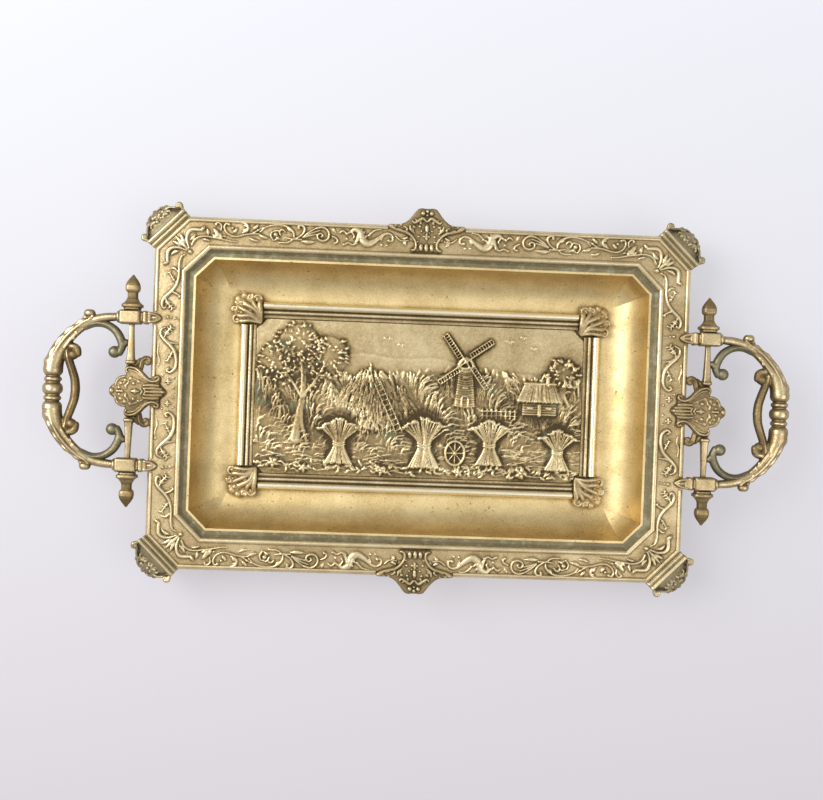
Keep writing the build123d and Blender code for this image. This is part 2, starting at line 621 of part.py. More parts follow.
# ---- Handle bars: two blocks joined by a square bar, with a leaf from each block onto the rim ----
block_x = bar_x + 0.9
block_inner = block_x - block_length / 2
block_outer = block_x + block_length / 2
block_end = block_y + block_width / 2
block_bevel = 1.1
collar_length = 4.2
collar_inner = half_length + 1.4
leaf_half_width = block_width * 0.45
leaf_length = 6.9  # from the rim's edge to the leaf's tip
bead_start = cartouche_half_width + 2.0
bead_length = 1.8
flare_start = bead_start + bead_length + 5.0
flare_size = bar_size * 1.2
with BuildPart() as handle_bar:
    for side in (-1, 1):
        with BuildSketch(Plane((0, side * block_y, band_level))):
            with BuildLine():
                Polyline(
                    (collar_inner + 1, 0),
                    (collar_inner + 1, leaf_half_width),
                    (half_length - leaf_length * 0.25, leaf_half_width * 0.95),
                    (half_length - leaf_length * 0.62, leaf_half_width * 0.7),
                    (half_length - leaf_length * 0.88, leaf_half_width * 0.3),
                    (half_length - leaf_length, 0),
                )
                mirror(about=Plane.XZ)
            make_face()
        extrude(amount=block_height)
    with BuildSketch(Plane.XZ):
        with BuildLine():
            Polyline(
                (half_length - leaf_length, band_level),
                (half_length - leaf_length, rim_top + 0.6),
                (collar_inner + 1, handle_level + block_height / 2 - 0.6),
                (collar_inner + 1, band_level),
                close=True,
            )
        make_face()
    extrude(amount=half_width, both=True, mode=Mode.INTERSECT)
    with BuildSketch(Plane((block_x, 0, handle_level))):
        with Locations((0, block_y), (0, -block_y)):
            RectangleRounded(block_length, block_width, block_bevel)
    extrude(amount=block_height / 2, both=True)
    chamfer(edges().group_by(Axis.Z)[-1] + edges().group_by(Axis.Z)[0], length=block_bevel * 0.8)
    with Locations((collar_inner, block_y, handle_level), (collar_inner, -block_y, handle_level)):
        Box(
            collar_length,
            block_width * 0.93,
            block_height * 0.92,
            align=(Align.MIN, Align.CENTER, Align.CENTER),
        )
        Box(
            block_inner - collar_inner + block_bevel,
            block_width * 0.7,
            block_height * 0.7,
            align=(Align.MIN, Align.CENTER, Align.CENTER),
        )
    with Locations((bar_x, 0, handle_level)):
        Box(bar_size, 2 * (block_end - block_bevel - 1), bar_size)
    for side in (-1, 1):
        with BuildSketch(Plane((bar_x, side * flare_start, handle_level), z_dir=(0, 1, 0))):
            Rectangle(bar_size, bar_size)
        with BuildSketch(Plane((bar_x, side * bead_start, handle_level), z_dir=(0, 1, 0))):
            Rectangle(flare_size, flare_size)
        loft()
        with Locations((bar_x, side * (bead_start + bead_length / 2), handle_level)):
            Box(flare_size + 0.9, bead_length, flare_size + 0.9)
    # Under the cartouche the bar is halved in height and wider.
    with BuildSketch(Plane((bar_x, 0, band_level))):
        Rectangle(2 * flare_size, 2 * bead_start)
    extrude(amount=block_height, mode=Mode.SUBTRACT)
    with BuildSketch(Plane((0, 0, handle_level - flare_size / 2))):
        with Locations((bar_x, 0)):
            Rectangle(flare_size + 0.9, 2 * bead_start)
        for side in (-1, 1):
            bracket = ThreePointArc(
                (bar_x - 1, side * bead_start * 0.84),
                (half_length + bar_offset * 0.45, side * bead_start * 1.04),
                (half_length + 2.4, side * bead_start * 0.86),
                mode=Mode.PRIVATE,
            )
            SlotArc(bracket, 2.6)
            with Locations((half_length + seat_gap + bracket_scroll, side * bead_start * 0.82)):
                Circle(bracket_scroll)
    extrude(amount=band_level - handle_level + flare_size / 2)
    for side in (-1, 1):
        with Locations((block_outer, side * block_y, handle_level)):
            Cylinder(
                spigot_radius + seat_gap,
                2 * (spigot_length + seat_gap),
                rotation=(0, 90, 0),
                mode=Mode.SUBTRACT,
            )
        with Locations((bar_x, side * block_end, handle_level)):
            Cylinder(
                spigot_radius + seat_gap,
                2 * (spigot_length + seat_gap),
                rotation=(90, 0, 0),
                mode=Mode.SUBTRACT,
            )
    with BuildSketch(Plane((0, 0, band_level))):
        with Locations((leaf_screw_x, block_y), (leaf_screw_x, -block_y)):
            Circle(screw_radius + seat_gap)
    extrude(amount=plate_thread + seat_gap, mode=Mode.SUBTRACT)
    with BuildSketch(Plane((bar_x, 0, handle_level - flare_size / 2))):
        Circle(screw_radius + seat_gap)
    extrude(amount=flare_size, mode=Mode.SUBTRACT)
keep_both_sides(handle_bar.part, "handle_bar")

# ---- Cartouches: a crowned shield over each bar, its fluted tail seated on the rim ----
cartouche_end = bar_x + cartouche_overhang
cartouche_tip = half_length - cartouche_seat
cartouche_length = cartouche_end - cartouche_tip
cartouche_crown = 40.0  # radius of the crown across the shield
cartouche_edge = [
    (0.93, 0.3),
    (0.82, 0.55),
    (0.71, 0.62),
    (0.75, 0.86),
    (0.66, 0.99),
    (0.5, 0.78),
    (0.37, 0.5),
    (0.25, 0.36),
    (0.14, 0.35),
    (0.04, 0.2),
]
cartouche_lobes = [(0.95, 0.0, 2.0), (0.9, 0.24, 1.7), (0.83, 0.44, 1.7), (0.11, 0.53, 2.0)]
with BuildPart() as cartouche:
    with BuildSketch(Plane((0, 0, band_level))):
        with BuildLine():
            edge = [
                (cartouche_tip + u * cartouche_length, v * cartouche_half_width)
                for u, v in cartouche_edge
            ]
            Line((cartouche_end - 2, 0), edge[0])
            Spline(*edge)
            Line(edge[-1], (cartouche_tip, 0))
            mirror(about=Plane.XZ)
        make_face()
        for u, v, radius in cartouche_lobes:
            for side in (-1, 1):
                with Locations((cartouche_tip + u * cartouche_length, side * v * cartouche_half_width)):
                    Circle(radius)
        with Locations(
            (cartouche_tip + 0.14 * cartouche_length, 0.43 * cartouche_half_width),
            (cartouche_tip + 0.14 * cartouche_length, -0.43 * cartouche_half_width),
        ):
            Rectangle(3.0, 3.0)
    extrude(amount=cartouche_thickness + 1.6)
    with Locations((0, 0, band_level + cartouche_thickness + 1.6 - cartouche_crown)):
        Cylinder(cartouche_crown, 2 * cartouche_end, rotation=(0, 90, 0), mode=Mode.INTERSECT)
    with BuildSketch(Plane((0, 0, band_level))):
        with Locations((cartouche_screw_x, 0), (bar_x, 0)):
            Circle(screw_radius + seat_gap)
    extrude(amount=plate_thread + seat_gap, mode=Mode.SUBTRACT)
keep_both_sides(cartouche.part, "cartouche")

# ---- Finials: a square cap, neck and bud at the end of each block ----
finial_steps = [
    (0.0, 0.8),
    (0.07, 0.8),
    (0.07, 1.0),
    (0.16, 1.0),
]
finial_ogee = [(0.16, 0.94), (0.21, 0.68), (0.32, 0.52)]
finial_bud = [(0.53, 0.58), (0.6, 0.66), (0.72, 0.64), (0.84, 0.48), (0.94, 0.24), (1.0, 0.0)]


def finial_half(reach):
    """Half of the finial's outline, reach from its axis to the cap's side."""
    steps = [(r * reach, u * finial_length) for u, r in finial_steps]
    ogee = [(r * reach, u * finial_length) for u, r in finial_ogee]
    bud = [(r * reach, u * finial_length) for u, r in finial_bud]
    neck = reach * 0.46
    Polyline((0, 0), *steps, ogee[0])
    Spline(*ogee)
    Polyline(ogee[-1], (neck, ogee[-1][1]), (neck, bud[0][1]), bud[0])
    Spline(*bud)


finial_views = [
    (Plane((bar_x, block_end, handle_level)), finial_half_width, Mode.ADD),
    (
        Plane((bar_x, block_end, handle_level), x_dir=(0, 0, -1), z_dir=(1, 0, 0)),
        finial_half_depth,
        Mode.INTERSECT,
    ),
]
with BuildPart() as finial:
    for view, reach, how in finial_views:
        with BuildSketch(view):
            with BuildLine():
                finial_half(reach)
                mirror(about=Plane.YZ)
            make_face()
        extrude(amount=finial_half_width, both=True, mode=how)
    with Locations((bar_x, block_end, handle_level)):
        Cylinder(
            spigot_radius,
            spigot_length,
            rotation=(90, 0, 0),
            align=(Align.CENTER, Align.CENTER, Align.MIN),
        )
keep_in_quadrants(finial.part, "finial")

# ---- Handle grips: two tapered arms meet at a turned baluster, with scrolls inside the loop ----
arm_start_x = block_outer
arm_end_y = 12.5
arm_path = [
    (0.0, 1.0),
    (0.21, 0.97),
    (0.42, 0.9),
    (0.61, 0.79),
    (0.78, 0.61),
    (0.9, 0.38),
    (0.975, 0.15),
    (1.0, 0.0),
]
arm_growth = [0.0, 0.05, 0.1, 0.2, 0.36, 0.58, 0.84, 0.97]
inner_scroll = [
    (0.56, 0.8),
    (0.35, 0.835),
    (0.21, 0.82),
    (0.08, 0.745),
    (-0.01, 0.62),
    (-0.03, 0.49),
    (0.0, 0.39),
]
scroll_ball = (0.07, 0.36)
back_scroll = [(-12.1, 1.72), (-8.3, 1.24), (-10.9, 0.72), (-13.6, 0.28), (-14.2, 0.0)]
baluster_neck = arm_end_radius * 0.7
arm_end_x = arm_root_radius + arm_growth[-1] * (arm_end_radius - arm_root_radius)
lug_y = 30.7  # small lug between the inner scroll and the bar
lug_width = 8.6
lug_length = 3.4
baluster_half = [
    (baluster_neck, baluster_bulb / 2),
    (baluster_neck, baluster_bulb / 2 + 1.4),
    (arm_end_radius * 0.87, baluster_bulb / 2 + 1.4),
    (arm_end_radius * 0.87, baluster_bulb / 2 + 1.4 + baluster_ring),
    (baluster_neck, baluster_bulb / 2 + 1.4 + baluster_ring),
    (baluster_neck, baluster_bulb / 2 + 2.2 + baluster_ring),
]


def arm_spot(u, v):
    """Point of the handle's middle plane: u runs out from the block, v from the baluster's end."""
    return (
        arm_start_x + u * (grip_x - arm_start_x),
        arm_end_y + v * (block_y - arm_end_y),
        handle_level,
    )


with BuildPart() as handle_grip:
    with BuildLine():
        arm_centre = Spline(
            *[arm_spot(u, v) for u, v in arm_path], tangents=((1, 0, 0), (0, -1, 0))
        )
    for (u, v), growth in zip(arm_path, arm_growth):
        place = arm_centre.param_at_point(arm_spot(u, v))
        with BuildSketch(Plane(origin=arm_centre @ place, z_dir=arm_centre % place)):
            Circle(arm_root_radius + growth * (arm_end_radius - arm_root_radius))
    loft()
    with Locations((arm_start_x, block_y, handle_level)):
        Cylinder(
            arm_root_radius * 1.2, 1.8, rotation=(0, 90, 0), align=(Align.CENTER, Align.CENTER, Align.MIN)
        )
        Cylinder(
            spigot_radius,
            spigot_length,
            rotation=(0, -90, 0),
            align=(Align.CENTER, Align.CENTER, Align.MIN),
        )
    with Locations((arm_spot(0.515, 1.0)[0], block_y + 0.8, handle_level)):
        Cylinder(3.1, 5.0)
    with BuildLine():
        curl_centre = Spline(*[arm_spot(u, v) for u, v in inner_scroll])
    for place in (0, 0.2, 0.4, 0.6, 0.8, 1):
        with BuildSketch(Plane(origin=curl_centre @ place, z_dir=curl_centre % place)):
            Circle(curl_radius * (0.84 + 0.16 * math.sin(math.pi * place)))
    loft()
    with Locations(arm_spot(*scroll_ball)):
        Sphere(ball_radius)
    with BuildSketch(Plane((0, 0, handle_level))):
        with Locations((bar_x + bar_size / 2 + seat_gap, lug_y)):
            Rectangle(lug_length, lug_width, align=(Align.MIN, Align.CENTER))
    extrude(amount=curl_radius * 0.6, both=True)
    mirror(about=Plane.XZ)
    with BuildSketch(Plane((grip_x, 0, handle_level))):
        with BuildLine():
            Polyline((0, -arm_end_y), (0, arm_end_y))
            ThreePointArc(
                (arm_end_x, arm_end_y),
                (arm_end_x * 0.93, arm_end_y - 2.4),
                (baluster_neck, baluster_half[-1][1]),
            )
            Polyline((0, arm_end_y), (arm_end_x, arm_end_y))
            Polyline(*reversed(baluster_half))
            mirror(about=Plane.XZ)
            ThreePointArc(baluster_half[0], (arm_end_radius, 0), (baluster_neck, -baluster_bulb / 2))
        make_face()
    revolve(axis=Axis((grip_x, 0, handle_level), (0, 1, 0)))
    with BuildLine():
        stem = [(grip_x + dx, arm_end_y * v, handle_level) for dx, v in back_scroll]
        stem_back = [(x, -y, z) for x, y, z in reversed(stem[:-1])]
        stem_centre = Spline(*stem, *stem_back)
    for place in (0, 0.125, 0.25, 0.375, 0.5, 0.625, 0.75, 0.875, 1):
        with BuildSketch(Plane(origin=stem_centre @ place, z_dir=stem_centre % place)):
            Circle(stem_radius * (1.0 + 0.33 * math.sin(math.pi * place)))
    loft()
    with Locations(stem[0], stem_back[-1]):
        Sphere(ball_radius, rotation=(0, 90, 0))
keep_both_sides(handle_grip.part, "handle_grip")


# ---- Screws, all driven up from below ----
def keep_screws(name, points, seat, length):
    """Keeps one group of slotted screws with their heads under the seat."""
    with BuildPart() as screws:
        with BuildSketch(Plane.XY.offset(seat)):
            with Locations(*points):
                Circle(screw_radius)
        extrude(amount=length)
        with BuildSketch(Plane.XY.offset(seat)):
            with Locations(*points):
                Circle(head_radius)
        extrude(amount=-head_height)
        with BuildSketch(Plane.XY.offset(seat - head_height)):
            with Locations(*points):
                Rectangle(2 * head_radius, slot_width)
        extrude(amount=head_height * 0.4, mode=Mode.SUBTRACT)
    keep(screws.part, name)


rim_web = frame_thickness - band_depth
keep_screws("crest_screws", crest_screw_points, underside, rim_web + plate_thread)
keep_screws("handle_screws", handle_screw_points, underside, rim_web + plate_thread)
foot_seat = underside - foot_lug_thickness
keep_screws("foot_screws", foot_screw_points, foot_seat, foot_lug_thickness + thread_depth)
keep_screws("basin_screws", basin_screw_points, underside - wall, wall + thread_depth)
keep_screws("panel_screws", boss_screw_points + panel_screw_points, floor_level - wall, wall + plate_thread)
tie_bottom = handle_level - flare_size / 2
keep_screws(
    "cartouche_screws", [(bar_x, 0), (-bar_x, 0)], tie_bottom, band_level - tie_bottom + plate_thread
)
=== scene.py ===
"""Looks of the brass tray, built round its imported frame.

Metres, in the frame's own axes: +X to the right handle, +Y to the back, +Z up. The carving is worked
out in millimetres and scaled when it becomes a mesh.
"""

import math

import bmesh
import bpy
import numpy as np
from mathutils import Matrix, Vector


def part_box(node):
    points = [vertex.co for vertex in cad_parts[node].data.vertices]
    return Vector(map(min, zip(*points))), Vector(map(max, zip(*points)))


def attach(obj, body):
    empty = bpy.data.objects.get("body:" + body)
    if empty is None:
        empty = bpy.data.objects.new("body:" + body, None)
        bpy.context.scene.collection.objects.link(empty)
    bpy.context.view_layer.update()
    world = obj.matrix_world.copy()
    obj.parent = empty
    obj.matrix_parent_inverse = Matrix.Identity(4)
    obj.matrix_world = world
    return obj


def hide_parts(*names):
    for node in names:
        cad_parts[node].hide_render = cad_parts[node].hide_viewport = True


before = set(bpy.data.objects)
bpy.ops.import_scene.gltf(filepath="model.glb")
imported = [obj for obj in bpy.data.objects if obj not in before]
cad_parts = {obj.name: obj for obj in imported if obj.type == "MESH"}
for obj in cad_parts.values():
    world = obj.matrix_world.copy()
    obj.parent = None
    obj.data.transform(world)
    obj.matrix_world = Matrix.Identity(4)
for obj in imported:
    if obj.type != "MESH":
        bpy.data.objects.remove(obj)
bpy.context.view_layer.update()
MM = 0.001


def box_mm(node):
    """Lowest and highest corner of a CAD node, in millimetres."""
    return [np.array(corner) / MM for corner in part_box(node)]


# ---- Sizes read from the frame, in millimetres ----
rim_high = box_mm("rim_frame")[1]
half_length, half_width = rim_high[0], rim_high[1]
rim_top = round(rim_high[2], 1)
band_depth = 1.2
band_level = rim_top - band_depth
outer_moulding = 3.4
band_width = 13.8
band_inner = outer_moulding + band_width
corner_cut = 20.8
band_corner_cut = 17.0
handle_level = rim_top - 1.0
panel_low, panel_high = box_mm("relief_panel")
panel_thickness = 2.6
panel_cut = 6.6

# ---- Shared colours, as linear values ----
BRIGHT = (0.83, 0.70, 0.43, 1)
MIDDLE = (0.405, 0.295, 0.145, 1)
DARK = (0.105, 0.075, 0.030, 1)
VERDIGRIS = (0.16, 0.165, 0.085, 1)


# ---- Camera, floor and light ----
LENS = 41.55
SENSOR_WIDTH = 36
CAMERA_PLACE = (-0.0269, 0.0058, rim_top * MM + 0.6101)
CAMERA_TURN = (-0.541, -1.952, 2.087)  # degrees about X, Y and Z
FLOOR_REACH = 3.0
FLOOR_NEAR = (0.66, 0.625, 0.655, 1)
FLOOR_FAR = (0.84, 0.85, 0.90, 1)
FLOOR_GLOW = 1.06
FLOOR_GLOW_SHARE = 0.5  # of the floor that is seen, the rest is lit and shadowed
SKY_LEVELS = ((0.14, 0.76), (0.24, 0.58), (0.34, 0.40), (0.5, 0.54), (0.8, 0.86))
SKY_STRENGTH = 0.84
LAMPS = (("key", (-1.0, 0.35, 1.1), 1.0, 15.0), ("fill", (0.8, -0.35, 1.2), 0.8, 3.0))


def add_camera():
    """Nearly straight down, as the tray is seen from above the table."""
    data = bpy.data.cameras.new("camera")
    data.lens = LENS
    data.sensor_width = SENSOR_WIDTH
    camera = bpy.data.objects.new("camera", data)
    camera.location = CAMERA_PLACE
    camera.rotation_euler = [math.radians(a) for a in CAMERA_TURN]
    bpy.context.collection.objects.link(camera)
    bpy.context.scene.camera = camera


def add_node(tree, kind, links=(), **settings):
    """A shader node; settings whose name is an input's set that input, the rest are properties."""
    node = tree.nodes.new(kind)
    for name, value in settings.items():
        setattr(node, name, value)
    for socket, value in dict(links).items():
        target = node.inputs[socket]
        if isinstance(value, bpy.types.NodeSocket):
            tree.links.new(value, target)
        else:
            target.default_value = value
    return node


def calculate(tree, operation, a, b=0.0, c=0.0):
    """The output of a Math node."""
    return add_node(tree, "ShaderNodeMath", {0: a, 1: b, 2: c}, operation=operation).outputs[0]


def mix(tree, factor, a, b):
    """The output of a node that mixes two colours."""
    links = {"Factor": factor, "A": a, "B": b}
    return add_node(tree, "ShaderNodeMix", links, data_type="RGBA").outputs["Result"]


def fresh_tree(owner):
    """An empty node tree on a material or a world."""
    owner.use_nodes = True
    owner.node_tree.nodes.clear()
    return owner.node_tree


def add_floor():
    """A pale sheet that also glows a little for the rays that see it."""
    mesh = bpy.data.meshes.new("floor")
    corners = [(x * FLOOR_REACH, y * FLOOR_REACH, 0) for x, y in ((-1, -1), (1, -1), (1, 1), (-1, 1))]
    mesh.from_pydata(corners, [], [(0, 1, 2, 3)])
    floor = bpy.data.objects.new("floor", mesh)
    bpy.context.collection.objects.link(floor)
    material = bpy.data.materials.new("floor_paper")
    tree = fresh_tree(material)
    place = add_node(tree, "ShaderNodeTexCoord").outputs["Object"]
    height = add_node(tree, "ShaderNodeSeparateXYZ", {0: place}).outputs["Y"]
    shade = add_node(tree, "ShaderNodeMapRange", {0: height, 1: -0.3, 2: 0.3}).outputs[0]
    colour = mix(tree, shade, FLOOR_NEAR, FLOOR_FAR)
    links = {"Base Color": colour, "Roughness": 0.85, "Specular IOR Level": 0.1}
    paper = add_node(tree, "ShaderNodeBsdfPrincipled", links)
    glow = add_node(tree, "ShaderNodeEmission", {"Color": colour, "Strength": FLOOR_GLOW})
    path = add_node(tree, "ShaderNodeLightPath").outputs
    seen = calculate(tree, "ADD", path["Is Camera Ray"], path["Is Glossy Ray"])
    seen = calculate(tree, "ADD", seen, path["Is Transmission Ray"])
    share = calculate(tree, "MULTIPLY", seen, FLOOR_GLOW_SHARE)
    mixed = add_node(tree, "ShaderNodeMixShader", {0: share, 1: paper.outputs[0], 2: glow.outputs[0]})
    add_node(tree, "ShaderNodeOutputMaterial", {"Surface": mixed.outputs[0]})
    mesh.materials.append(material)


def add_light():
    """A world that is bright overhead and dimmer towards the horizon, and two soft lamps."""
    world = bpy.data.worlds.new("studio")
    bpy.context.scene.world = world
    tree = fresh_tree(world)
    direction = add_node(tree, "ShaderNodeTexCoord").outputs["Generated"]
    up = add_node(tree, "ShaderNodeSeparateXYZ", {0: direction}).outputs["Z"]
    sky = add_node(tree, "ShaderNodeValToRGB", {0: up})
    stops = sky.color_ramp.elements
    stops[0].color = (0.80, 0.80, 0.82, 1)
    stops[1].color = (1.0, 1.0, 1.0, 1)
    for position, level in SKY_LEVELS:
        stops.new(position).color = (level, level, level * 1.03, 1)
    studio = add_node(tree, "ShaderNodeBackground", {"Color": sky.outputs[0], "Strength": SKY_STRENGTH})
    add_node(tree, "ShaderNodeOutputWorld", {"Surface": studio.outputs[0]})

    for name, place, size, power in LAMPS:
        lamp = bpy.data.lights.new(name, "AREA")
        lamp.size = size
        lamp.energy = power
        thing = bpy.data.objects.new(name, lamp)
        thing.location = place
        thing.rotation_euler = (-Vector(place)).to_track_quat("-Z", "Y").to_euler()
        bpy.context.collection.objects.link(thing)


# ---- Brass ----
# Brown and green for the step round the basin: the brown is partly crust and partly painted shade under the
# inner moulding, the green is verdigris.
CRUST_AND_SHADE_BROWN = (0.135, 0.112, 0.055, 1)
CRUST_GREEN = (0.29, 0.325, 0.225, 1)


def stain_and_shade_share(maths, noise, spread, place, low, high):
    """How much of the strip from low to high millimetres inside the rim's outline is darkened, by old
    verdigris and by painted shade under the inner moulding.
    """
    across, along = (maths("ABSOLUTE", place.outputs[axis]) for axis in "XY")
    to_end = maths("SUBTRACT", half_length * MM, across)
    to_side = maths("MINIMUM", to_end, maths("SUBTRACT", half_width * MM, along))
    to_cut = (half_length + half_width - band_corner_cut + band_inner * (math.sqrt(2) - 2)) * MM
    slanted = maths("SUBTRACT", to_cut, maths("ADD", across, along))
    inset = maths("MINIMUM", to_side, maths("MULTIPLY", slanted, math.sqrt(0.5)))
    wander = maths("MULTIPLY", maths("SUBTRACT", noise(300.0), 0.5), 0.0012)
    inset = maths("ADD", inset, wander)
    inside = spread(inset, (low - 0.2) * MM, (low + 0.2) * MM)
    outside = spread(inset, (high - 0.2) * MM, (high + 0.2) * MM, 1.0, 0.0)
    share = maths("MULTIPLY", maths("MULTIPLY", inside, outside), 0.86)
    return maths("MULTIPLY", share, spread(noise(130.0), 0.25, 0.5, 0.75, 1.0))


def brass(
    name,
    wear_and_shading=None,
    bright=BRIGHT,
    middle=MIDDLE,
    dark=DARK,
    verdigris=0.3,
    polish=0.34,
    grime_and_shade=2.5,
    stain_and_shade=None,
    specks=0.0,
):
    """Aged brass: dark in the hollows as patina and as painted shade, bright where rubbed and where a
    highlight is painted, green where damp has stood.

    A level is given for plain castings; a carved piece leaves it out and brings its own attribute. Both mix
    wear with painted light: bright crests partly a painted highlight, dark edges partly painted shade.
    polish is the roughness of the brightest places; the next argument is the reach in millimetres of an
    ambient occlusion node that darkens hollows and gaps between parts, partly patina and partly painted
    shade.
    The argument after that gives how far in from the rim's outline a band starts and ends that is darkened by
    old verdigris and by painted shade under the inner moulding.
    """
    material = bpy.data.materials.new(name)
    tree = fresh_tree(material)
    place = add_node(tree, "ShaderNodeTexCoord").outputs["Object"]

    def noise(scale, detail=4.0, roughness=0.55):
        links = {"Vector": place, "Scale": scale, "Detail": detail, "Roughness": roughness}
        return add_node(tree, "ShaderNodeTexNoise", links).outputs["Fac"]

    def maths(operation, a, b=0.0):
        return calculate(tree, operation, a, b)

    def spread(value, low, high, to_low=0.0, to_high=1.0):
        links = {0: value, 1: low, 2: high, 3: to_low, 4: to_high}
        return add_node(tree, "ShaderNodeMapRange", links).outputs[0]

    if wear_and_shading is None:
        level = add_node(tree, "ShaderNodeAttribute", attribute_name="wear_and_shading").outputs["Fac"]
    else:
        level = add_node(tree, "ShaderNodeValue").outputs[0]
        level.default_value = wear_and_shading
    # An ambient occlusion node darkens hollows and the gaps between parts, partly patina and partly painted
    # shade.
    hollow = add_node(tree, "ShaderNodeAmbientOcclusion", {"Distance": grime_and_shade * MM}, samples=8)
    open_sky = spread(hollow.outputs["AO"], 0.25, 0.95)
    blotches = spread(noise(45.0, 5.0, 0.6), 0.3, 0.7, -0.14, 0.14)
    grain = spread(noise(900.0, 3.0, 0.6), 0.3, 0.7, -0.10, 0.10)
    level = maths("ADD", maths("ADD", level, blotches), grain)
    if specks:
        spots = spread(noise(330.0, 3.0, 0.6), 0.655, 0.70, 0.0, specks)
        level = maths("SUBTRACT", level, spots)
    level = maths("SUBTRACT", level, maths("MULTIPLY", maths("SUBTRACT", 1.0, open_sky), 0.55))
    ramp = add_node(tree, "ShaderNodeValToRGB", {0: level})
    stops = ramp.color_ramp.elements
    stops[0].position, stops[0].color = 0.06, dark
    stops[1].position, stops[1].color = 0.92, bright
    stops.new(0.48).color = middle

    damp = spread(noise(70.0, 6.0, 0.65), 0.56, 0.66)
    green = maths("MULTIPLY", damp, spread(level, 0.55, 0.15))
    green = maths("MULTIPLY", green, verdigris)
    tint = mix(tree, green, ramp.outputs[0], VERDIGRIS)
    if stain_and_shade:
        axes = add_node(tree, "ShaderNodeSeparateXYZ", {0: place})
        step_stain_and_shade = stain_and_shade_share(maths, noise, spread, axes, *stain_and_shade)
        spots = maths("MULTIPLY", spread(noise(210.0, 5.0, 0.65), 0.53, 0.64), 0.6)
        # The step is painted brown with green verdigris spots; the brown is partly painted shade under the
        # inner moulding.
        tint = mix(tree, step_stain_and_shade, tint, mix(tree, spots, CRUST_AND_SHADE_BROWN, CRUST_GREEN))
        green = maths("MAXIMUM", green, step_stain_and_shade)

    metal = maths("SUBTRACT", spread(level, 0.0, 0.45, 0.62, 1.0), maths("MULTIPLY", green, 0.8))
    rough = maths("ADD", spread(level, 0.1, 0.9, 0.62, polish), spread(noise(260.0), 0.3, 0.7, -0.06, 0.06))
    pits = maths("ADD", noise(1500.0, 2.0), maths("MULTIPLY", noise(380.0, 3.0), 0.8))
    bump = add_node(tree, "ShaderNodeBump", {"Height": pits, "Distance": 0.00006, "Strength": 0.5})
    links = {"Base Color": tint, "Metallic": metal, "Roughness": rough, "Normal": bump.outputs[0]}
    shader = add_node(tree, "ShaderNodeBsdfPrincipled", links)
    shader.inputs["Specular IOR Level"].default_value = 0.2
    add_node(tree, "ShaderNodeOutputMaterial", {"Surface": shader.outputs[0]})
    return material


# ---- Making meshes ----
def finish_piece(name, mesh, material, replaced=()):
    """Puts a mesh, already in metres, on the tray as a piece of its own."""
    piece = bpy.data.objects.new(name, mesh)
    bpy.context.collection.objects.link(piece)
    mesh.materials.clear()
    mesh.materials.append(material)
    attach(piece, "root")
    if replaced:
        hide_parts(*replaced)
    return piece


def set_wear_and_shading(mesh, wear_and_shading):
    """Stores each vertex's level, from 0 in a hollow to 1 on a crest: wear and patina mixed with painted
    shade in hollows and a painted highlight on crests.
    """
    attribute = mesh.attributes.new("wear_and_shading", "FLOAT", "POINT")
    attribute.data.foreach_set("value", np.clip(wear_and_shading, 0, 1).astype(np.float32))


def blur(grid, radius):
    """Box blur of a grid by a number of cells, twice, along both axes."""
    for _ in range(2):
        for axis in (0, 1):
            pad = [(radius + 1, radius) if a == axis else (0, 0) for a in (0, 1)]
            total = np.cumsum(np.pad(grid, pad, mode="edge"), axis=axis)
            span = 2 * radius + 1
            ahead = np.take(total, range(span, total.shape[axis]), axis=axis)
            behind = np.take(total, range(0, total.shape[axis] - span), axis=axis)
            grid = (ahead - behind) / span
    return grid


def smooth_path(points, steps=10):
    """Catmull-Rom curve through the points."""
    points = np.array(points, float)
    ends = np.vstack([2 * points[0] - points[1], points, 2 * points[-1] - points[-2]])
    path = []
    for a, b, c, d in zip(ends[:-3], ends[1:-2], ends[2:-1], ends[3:]):
        square, cube = 2 * a - 5 * b + 4 * c - d, 3 * b - a - 3 * c + d
        for t in np.arange(steps) / steps:
            path.append(0.5 * (2 * b + (c - a) * t + square * t**2 + cube * t**3))
    return np.array(path + [points[-1]])


def spiral(centre, radius, turns, start, inner=0.22, count=14):
    """Points of a spiral that winds in from radius; negative turns go clockwise. start in degrees."""
    u = np.linspace(0, 1, int(count * max(abs(turns), 0.5)) + 2)
    angle = math.radians(start) + 2 * math.pi * turns * u
    reach = radius * (1 + (inner - 1) * u)
    return np.stack([centre[0] + reach * np.cos(angle), centre[1] + reach * np.sin(angle)], 1)


